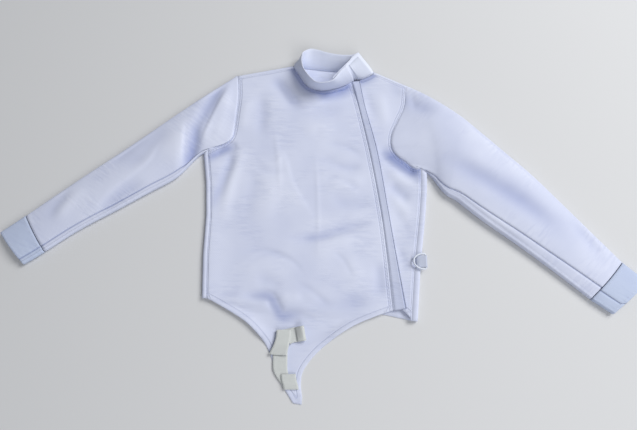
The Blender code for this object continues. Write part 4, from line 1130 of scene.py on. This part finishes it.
def finish_tube(name, rings, folds, material, band, sewn=0):
    """Adds folds and the underarm seam on a tube's upper side and turns it into a wall."""
    front = rings[:, :FRONT_STEPS + 1]
    q = np.linspace(0, 1, FRONT_STEPS + 1)
    start = ease((np.arange(len(rings)) - sewn) / SEWN_FADE) if sewn else np.ones(len(rings))
    lift = relief(front[..., 0], front[..., 1], folds) * ease(q / HOLD) * ease((1 - q) / HOLD)
    in_from_roll = np.linalg.norm(front[..., :2] - front[:, -1:, :2], axis=2)
    table = np.array(band, float)
    width = np.interp(np.linspace(0, 1, len(rings)), table[:, 0], table[:, 1])[:, None]
    gap = in_from_roll - width
    pinch = -PINCH * np.exp(-(gap / PINCH_WIDTH) ** 2) - PINCH * ease(0.5 - gap / STEP_DOWN)
    height = np.maximum(front[..., 2] + (lift + pinch) * start[:, None], LEAST + 2 * SEAM)
    front[..., 2] = np.where(start[:, None] > 0, height, front[..., 2])
    # Painted shade: the underarm seam's distance and the folds' lift are stored for the twill to darken.
    stored = {"seam": np.full(rings.shape[:2], AWAY), "hollow": np.zeros(rings.shape[:2])}
    stored["seam"][:, :FRONT_STEPS + 1] = gap
    stored["hollow"][:, :FRONT_STEPS + 1] = lift
    stored = {key: values.ravel() for key, values in stored.items()}
    points, faces = bridge(rings, closed=True)
    line = [[np.interp(w + UNDER_STITCH, g[::-1], row[::-1, k]) for k in (0, 1)]
            for w, g, row in zip(width[:, 0], in_from_roll, front)]
    return wall(name, points, faces, WALL, material, stored, 0.14), line


print("the underarm seam is", PINCH, "mm deep")

# %% Sleeves and cuffs
sleeves, cuffs, under = {}, {}, {}
for side, flat, area in (("right", (0.37, 0.56), 0.135), ("left", (0.42, 0.63), 0.19)):
    rings = armhole_rings(side) + [section_ring(row) for row in SLEEVE_ROWS[side]]
    rings = relax(loft(rings, [4, 10] + [14] * (len(SLEEVE_ROWS[side]) - 1)), 5)
    tube, under[side] = finish_tube(side + "_sleeve", rings, SLEEVE_FOLDS[side],
                                    SLEEVE_TWILL[side], UNDERARM[side], 4)
    sleeves[side] = rides(tube, "sleeve_" + side)
    rings = [section_ring(row) for row in CUFF_ROWS[side]]
    tube, _ = finish_tube(side + "_cuff", loft(rings, [7, 7]), [], CUFF_TWILL, UNDERARM[side][-2:])
    cuffs[side] = rides(tube, "cuff_" + side)

# %% [markdown]
# ## Hook-and-loop tape
# The looped half is sewn to the under end of the collar. It is a short pile, whiter and duller
# than twill, with fine ribs across. It takes its points from the collar's own rows, moved out by
# its thickness, so it follows the band wherever that bends.

# %% Narrow woven goods


def ribbed(name, hex_colour, spacing, direction, slot_name, depth=0.0004):
    """Tape or elastic: ribs at a spacing in metres, across a plan direction."""
    made, tree, shader = new_material(name, hex_colour, 0.9, slot_name)
    shader.inputs["Sheen Weight"].default_value = 0.2
    place = node(tree, "ShaderNodeTexCoord").outputs["Object"]
    turned = node(tree, "ShaderNodeMapping", {},
                  {"Vector": place, "Rotation": (0, 0, math.radians(direction))})
    ribs = node(tree, "ShaderNodeTexWave", {"bands_direction": "X"},
                {"Vector": turned, "Scale": math.pi / 10 / spacing, "Distortion": 0.3}).outputs["Fac"]
    pile = node(tree, "ShaderNodeTexNoise", {}, {"Vector": place, "Scale": 900.0, "Detail": 2.0})
    first = node(tree, "ShaderNodeBump", {}, {"Strength": 0.7, "Distance": depth, "Height": ribs})
    second = node(tree, "ShaderNodeBump", {},
                  {"Strength": 0.4, "Distance": 0.0004, "Height": pile, "Normal": first})
    tree.links.new(second.outputs["Normal"], shader.inputs["Normal"])
    shade = node(tree, "ShaderNodeMapRange", {}, {"Value": ribs, "To Min": 0.86, "To Max": 1.0})
    tint = node(tree, "ShaderNodeVectorMath", {"operation": "SCALE"},
                {0: linear(hex_colour)[:3], "Scale": shade})
    tree.links.new(tint.outputs["Vector"], shader.inputs["Base Color"])
    return made


LOOP_PILE = ribbed("nylon_loop_pile", "#D6DDF0", 0.0024, 60, "hook_and_loop_tape")
print("pile", LOOP_PILE.name)

# %% Hook-and-loop tape
PATCH_SPAN, PATCH_BAND = (2.5, 5), (0.08, 0.90)     # rows of the collar's table, shares of its height
PATCH_THICK = 1.0
PATCH_OUT = WALL / 2 + 0.1 + 2 * SEAM + PATCH_THICK / 2
first, last = (int(row * COLLAR_SPLIT) for row in PATCH_SPAN)
band_rows = collar_rows(np.linspace(*PATCH_BAND, 9))
rows = []
for before, row, after in zip(band_rows[first - 1:], band_rows[first:last + 1], band_rows[first + 1:]):
    out = np.cross(after[4] - before[4], row[-1] - row[0])
    rows.append(row + out / np.linalg.norm(out) * PATCH_OUT)
points, faces = bridge(rows, closed=False)
patch = rides(wall("collar_loop_tape", points, faces, PATCH_THICK, LOOP_PILE), "collar_patch")

# %% [markdown]
# ## Crotch strap
# Thirty millimetre woven elastic, cream beside the blue-white twill. One strip from its sewn end
# on the tail: under, up, folded back twice, turned off to the side, and looped at its end. A
# curve with a flat section would twist at the turns, so it is one ribbon from a table of rows
# across it.

# %% Crotch strap
ELASTIC = ribbed("cream_woven_elastic", "#D6DBDB", 0.0022, 90, "woven_elastic", depth=0.0006)
STRAP_WIDE, STRAP_THICK = 30.0, 1.3
STRAP_ROWS = [
    # x, y, z of the middle, direction across in degrees, stretch, lift of the far edge
    (-62, -343, 6.0, 180, 1, 0), (-61, -353, 6.0, 180, 1, 0), (-58, -363, 5.8, 180, 1, 0),
    (-56, -371, 5.4, 180, 1, 0), (-56, -372.6, 4.2, 180, 1, 0), (-57, -371, 3.0, 180, 1, 0),
    (-63, -362, 3.0, 172, 1, 0), (-73, -350, 3.0, 168, 1, 0), (-79, -336, 3.0, 175, 1, 0),
    (-80, -322, 3.0, 180, 1, 0), (-80, -306, 3.0, 180, 1, 0), (-80, -291, 3.0, 180, 1, 0),
    (-80, -289.6, 4.0, 180, 1, 0), (-80, -291, 5.1, 180, 1, 0), (-84, -303, 5.3, 176, 1.2, 0),
    (-84, -304.6, 6.6, 176, 1.2, -0.4), (-84, -303, 8.6, 176, 1.2, -1.8),
    (-81, -294, 10.2, 178, 1.14, -2.6), (-77, -282, 9.4, 180, 1.05, -1.0),
    (-74, -269, 8.6, 180, 1, 0), (-73, -256, 8.6, 180, 1, 0),
    (-73, -254.5, 7.5, 180, 1, 0), (-73, -256, 6.4, 180, 1, 0), (-73, -269, 6.2, 140, 1.305, 0),
    (-72.2, -270, 5.1, 140, 1.305, 0), (-73, -269, 4.0, 140, 1.305, 0), (-55, -265, 3.9, 100, 1, 0),
    (-46, -263.5, 3.9, 100, 1, 1), (-36, -262, 4.2, 100, 1, 4), (-29.5, -261, 6.2, 100, 1, 6),
    (-29, -261, 8.6, 100, 1, 6), (-33, -261.5, 10.4, 100, 1, 6), (-39, -262.5, 9.0, 100, 1, 4),
    (-46, -263.5, 6.2, 100, 1, 1.5),
]
rows = []
for x, y, z, turn, stretch, lift in STRAP_ROWS:
    half = STRAP_WIDE * stretch / 2
    dx, dy = half * math.cos(math.radians(turn)), half * math.sin(math.radians(turn))
    rows.append([(x + dx * u, y + dy * u, z + lift * (u + 1) / 2) for u in np.linspace(-1, 1, 9)])
points, faces = bridge(loft(rows, [3] * (len(rows) - 1)), closed=False)
strap = rides(wall("crotch_strap_elastic", points, faces, STRAP_THICK, ELASTIC), "crotch_strap")

# %% [markdown]
# ## Ring and its tab
# A moulded ring for the body cord, held by a folded tape in the side seam. A curve with a round
# bevel keeps the ring's section the same all the way round. It turns about its straight bar, so
# it rides on its own body.

# %% Ring
MOULDED = new_material("moulded_acetal", "#D2D9E8", 0.38, "moulded_plastic")[0]
RING_Y, RING_BAR = -109.0, (234.0, 12.4)            # middle of the straight bar: y, and x with z
RING_HALF, RING_REACH, RING_CORNER = 17.0, 27.0, 3.5
RING_STOCK, RING_LIFT = 2.0, 4.6                    # radius of its section, rise of its far side
corner = [(RING_CORNER * (math.sin(a) - 1), RING_HALF - RING_CORNER * (1 - math.cos(a)))
          for a in np.linspace(0, math.pi / 2, 7)[1:]]
path = [(-RING_CORNER - (RING_REACH - RING_CORNER) * math.cos(a), RING_HALF * math.sin(a))
        for a in np.linspace(-math.pi / 2, math.pi / 2, 41)]
path += corner + [(x, -y) for x, y in corner[::-1]]
curve = bpy.data.curves.new("d_ring", "CURVE")
curve.dimensions = "3D"
curve.bevel_depth = RING_STOCK * MM
curve.bevel_resolution = 5
spline = curve.splines.new("POLY")
spline.points.add(len(path) - 1)
for point, (x, y) in zip(spline.points, path):
    spot = (RING_BAR[0] + x, RING_Y + y, RING_BAR[1] - x / RING_REACH * RING_LIFT)
    point.co = (*out_box([spot])[0], 1)
spline.use_cyclic_u = True
ring = put("d_ring", curve, MOULDED)
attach(ring, "ring")
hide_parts("ring")
print("ring", 2 * RING_HALF, "mm wide")

# %% Tab
TAB_TAPE = ribbed("cotton_tape", "#C9D1E6", 0.002, 0, "jacket_cloth")
TAB_WIDE, TAB_THICK, TAB_PLAY = 26.0, 1.0, 0.5
TAB_START, TAB_FLAT, TAB_LEVELS = 214.0, 8.0, (11.1, 12.6)      # sewn ends: x, length, both heights
radius = RING_STOCK + TAB_PLAY + TAB_THICK / 2
profile = [(TAB_START, TAB_LEVELS[0]), (TAB_START + TAB_FLAT, TAB_LEVELS[0] - 0.1)]
for a in np.linspace(-1.75, 1.75, 21):
    profile.append((RING_BAR[0] + radius * math.cos(a), RING_BAR[1] + radius * math.sin(a)))
profile += [(TAB_START + TAB_FLAT, TAB_LEVELS[1] + 0.4), (TAB_START, TAB_LEVELS[1])]
rows = [[(x, RING_Y + y, z) for x, z in profile] for y in np.linspace(-TAB_WIDE / 2, TAB_WIDE / 2, 9)]
points, faces = bridge(rows, closed=False)
tab = rides(wall("ring_tab_tape", points, faces, TAB_THICK, TAB_TAPE), "ring_tab")

# %% [markdown]
# ## Stitching
# Topstitching holds the turned edges flat. Real stitches are about 3 mm long. A row drawn in the
# cloth's colour would lie dead flat, so each stitch is a small spindle of thread, laid on the
# cloth by dropping its line onto the finished piece from above.

# %% Stitches
THREAD = new_material("polyester_thread", "#D3D9E8", 0.6, "jacket_cloth")[0]
STITCH, GAP, THREAD_HALF = 2.6, 1.2, 0.3
THREAD_SIDES = 6
SINK, STAND = 0.15, 0.12    # a stitch's ends lie below the cloth's face, and its middle above it
SWELL = 0.8                 # its section at either shoulder, in its half width
thread_points, thread_faces = [], []


def drop(obj, line):
    """Points of a plan line on the top of a piece; None where it misses, or where the cloth is steep."""
    tree = BVHTree.FromObject(obj, bpy.context.evaluated_depsgraph_get())
    hits = []
    for x, y in np.asarray(line)[:, :2]:
        start = Vector(((x - CENTRE[0]) * MM, (y - CENTRE[1]) * MM, 0.2))
        place, normal, _, _ = tree.ray_cast(start, Vector((0, 0, -1)))
        hits.append(None if place is None or normal.z < 0.2 else np.array(place) / MM)
    return hits


def sew(a, b):
    """One stitch between two points in millimetres of the frame."""
    along = (b - a) / np.linalg.norm(b - a)
    side = np.cross(along, (0, 0, 1))
    side /= np.linalg.norm(side)
    up = np.cross(side, along)
    base, count = len(thread_points), THREAD_SIDES
    for share in (0.18, 0.82):
        for turn in (k * 2 * math.pi / count for k in range(count)):
            around = side * math.cos(turn) + up * math.sin(turn)
            thread_points.append(a + (b - a) * share + around * THREAD_HALF * SWELL + up * STAND)
    thread_points.extend([a - up * SINK, b - up * SINK])
    for k in range(count):
        j = (k + 1) % count
        thread_faces.append((base + k, base + j, base + count + j, base + count + k))
        thread_faces.append((base + 2 * count, base + j, base + k))
        thread_faces.append((base + 2 * count + 1, base + count + k, base + count + j))


def stitch(obj, line):
    """A row of stitches along a plan line on a piece."""
    line = smooth_line(line, STITCH + GAP) if len(line) < 40 else np.asarray(line)
    run = np.append(0, np.cumsum(np.linalg.norm(np.diff(line[:, :2], axis=0), axis=1)))
    at = np.arange(2, run[-1] - STITCH, STITCH + GAP)
    starts, ends = (np.column_stack([np.interp(at + more, run, line[:, k]) for k in (0, 1)])
                    for more in (0, STITCH))
    for a, b in zip(drop(obj, starts), drop(obj, ends)):
        if a is not None and b is not None and abs(a[2] - b[2]) < 2:
            sew(a, b)


def beside(line, gap):
    """The line moved to its right in the plan."""
    return np.asarray(line)[:, :2] + normals_of(line) * gap


print("stitches of", STITCH, "mm, one every", STITCH + GAP, "mm")

# %% Topstitching
stitch(right_front, beside(seam_line, 3.5))
stitch(flap, beside(seam_line, -3.0))
stitch(flap, closing_line(0.93))
for side, piece in (("right", right_front), ("left", left_front)):
    for inset in (2.5, 8.0):
        stitch(piece, beside(front_armhole(side, 90), out_of(side) * inset))
        stitch(piece, side_seam(side, inset))
    stitch(piece, shoulder_seam(side, 3.5))
for piece, hem in ((right_front, hem_right), (left_front, hem_left)):
    stitch(piece, beside(hem, -9.0))
for piece, neck in ((right_front, right_neck), (left_front, left_neck)):
    stitch(piece, beside(neck, 5.5))
for side in SIDES:
    stitch(sleeves[side], under[side][8:])
    first, last = (np.array(CUFF_ROWS[side][k]) for k in (0, -1))
    for share in (0.1, 0.9):
        row = first * (1 - share) + last * share
        stitch(cuffs[side], smooth_line([row[:2], row[2:4]], 3))
mesh = new_mesh("topstitching", np.array(thread_points) * MM, thread_faces)
mesh.shade_smooth()
rides(put("topstitching", mesh, THREAD))

# %% [markdown]
# ## Floor
# A plain pale surface, big enough to fill the view. It lies a little below the cloth, so that
# the two never share a face.

# %% Floor
paint = new_material("pale_floor", "#D3D5D8", 0.9, "")[0]
bpy.ops.mesh.primitive_plane_add(size=8, location=(0, 0, -0.0002))
floor = bpy.context.active_object
floor.name = "floor"
floor.data.materials.append(paint)
print("floor", tuple(floor.dimensions))
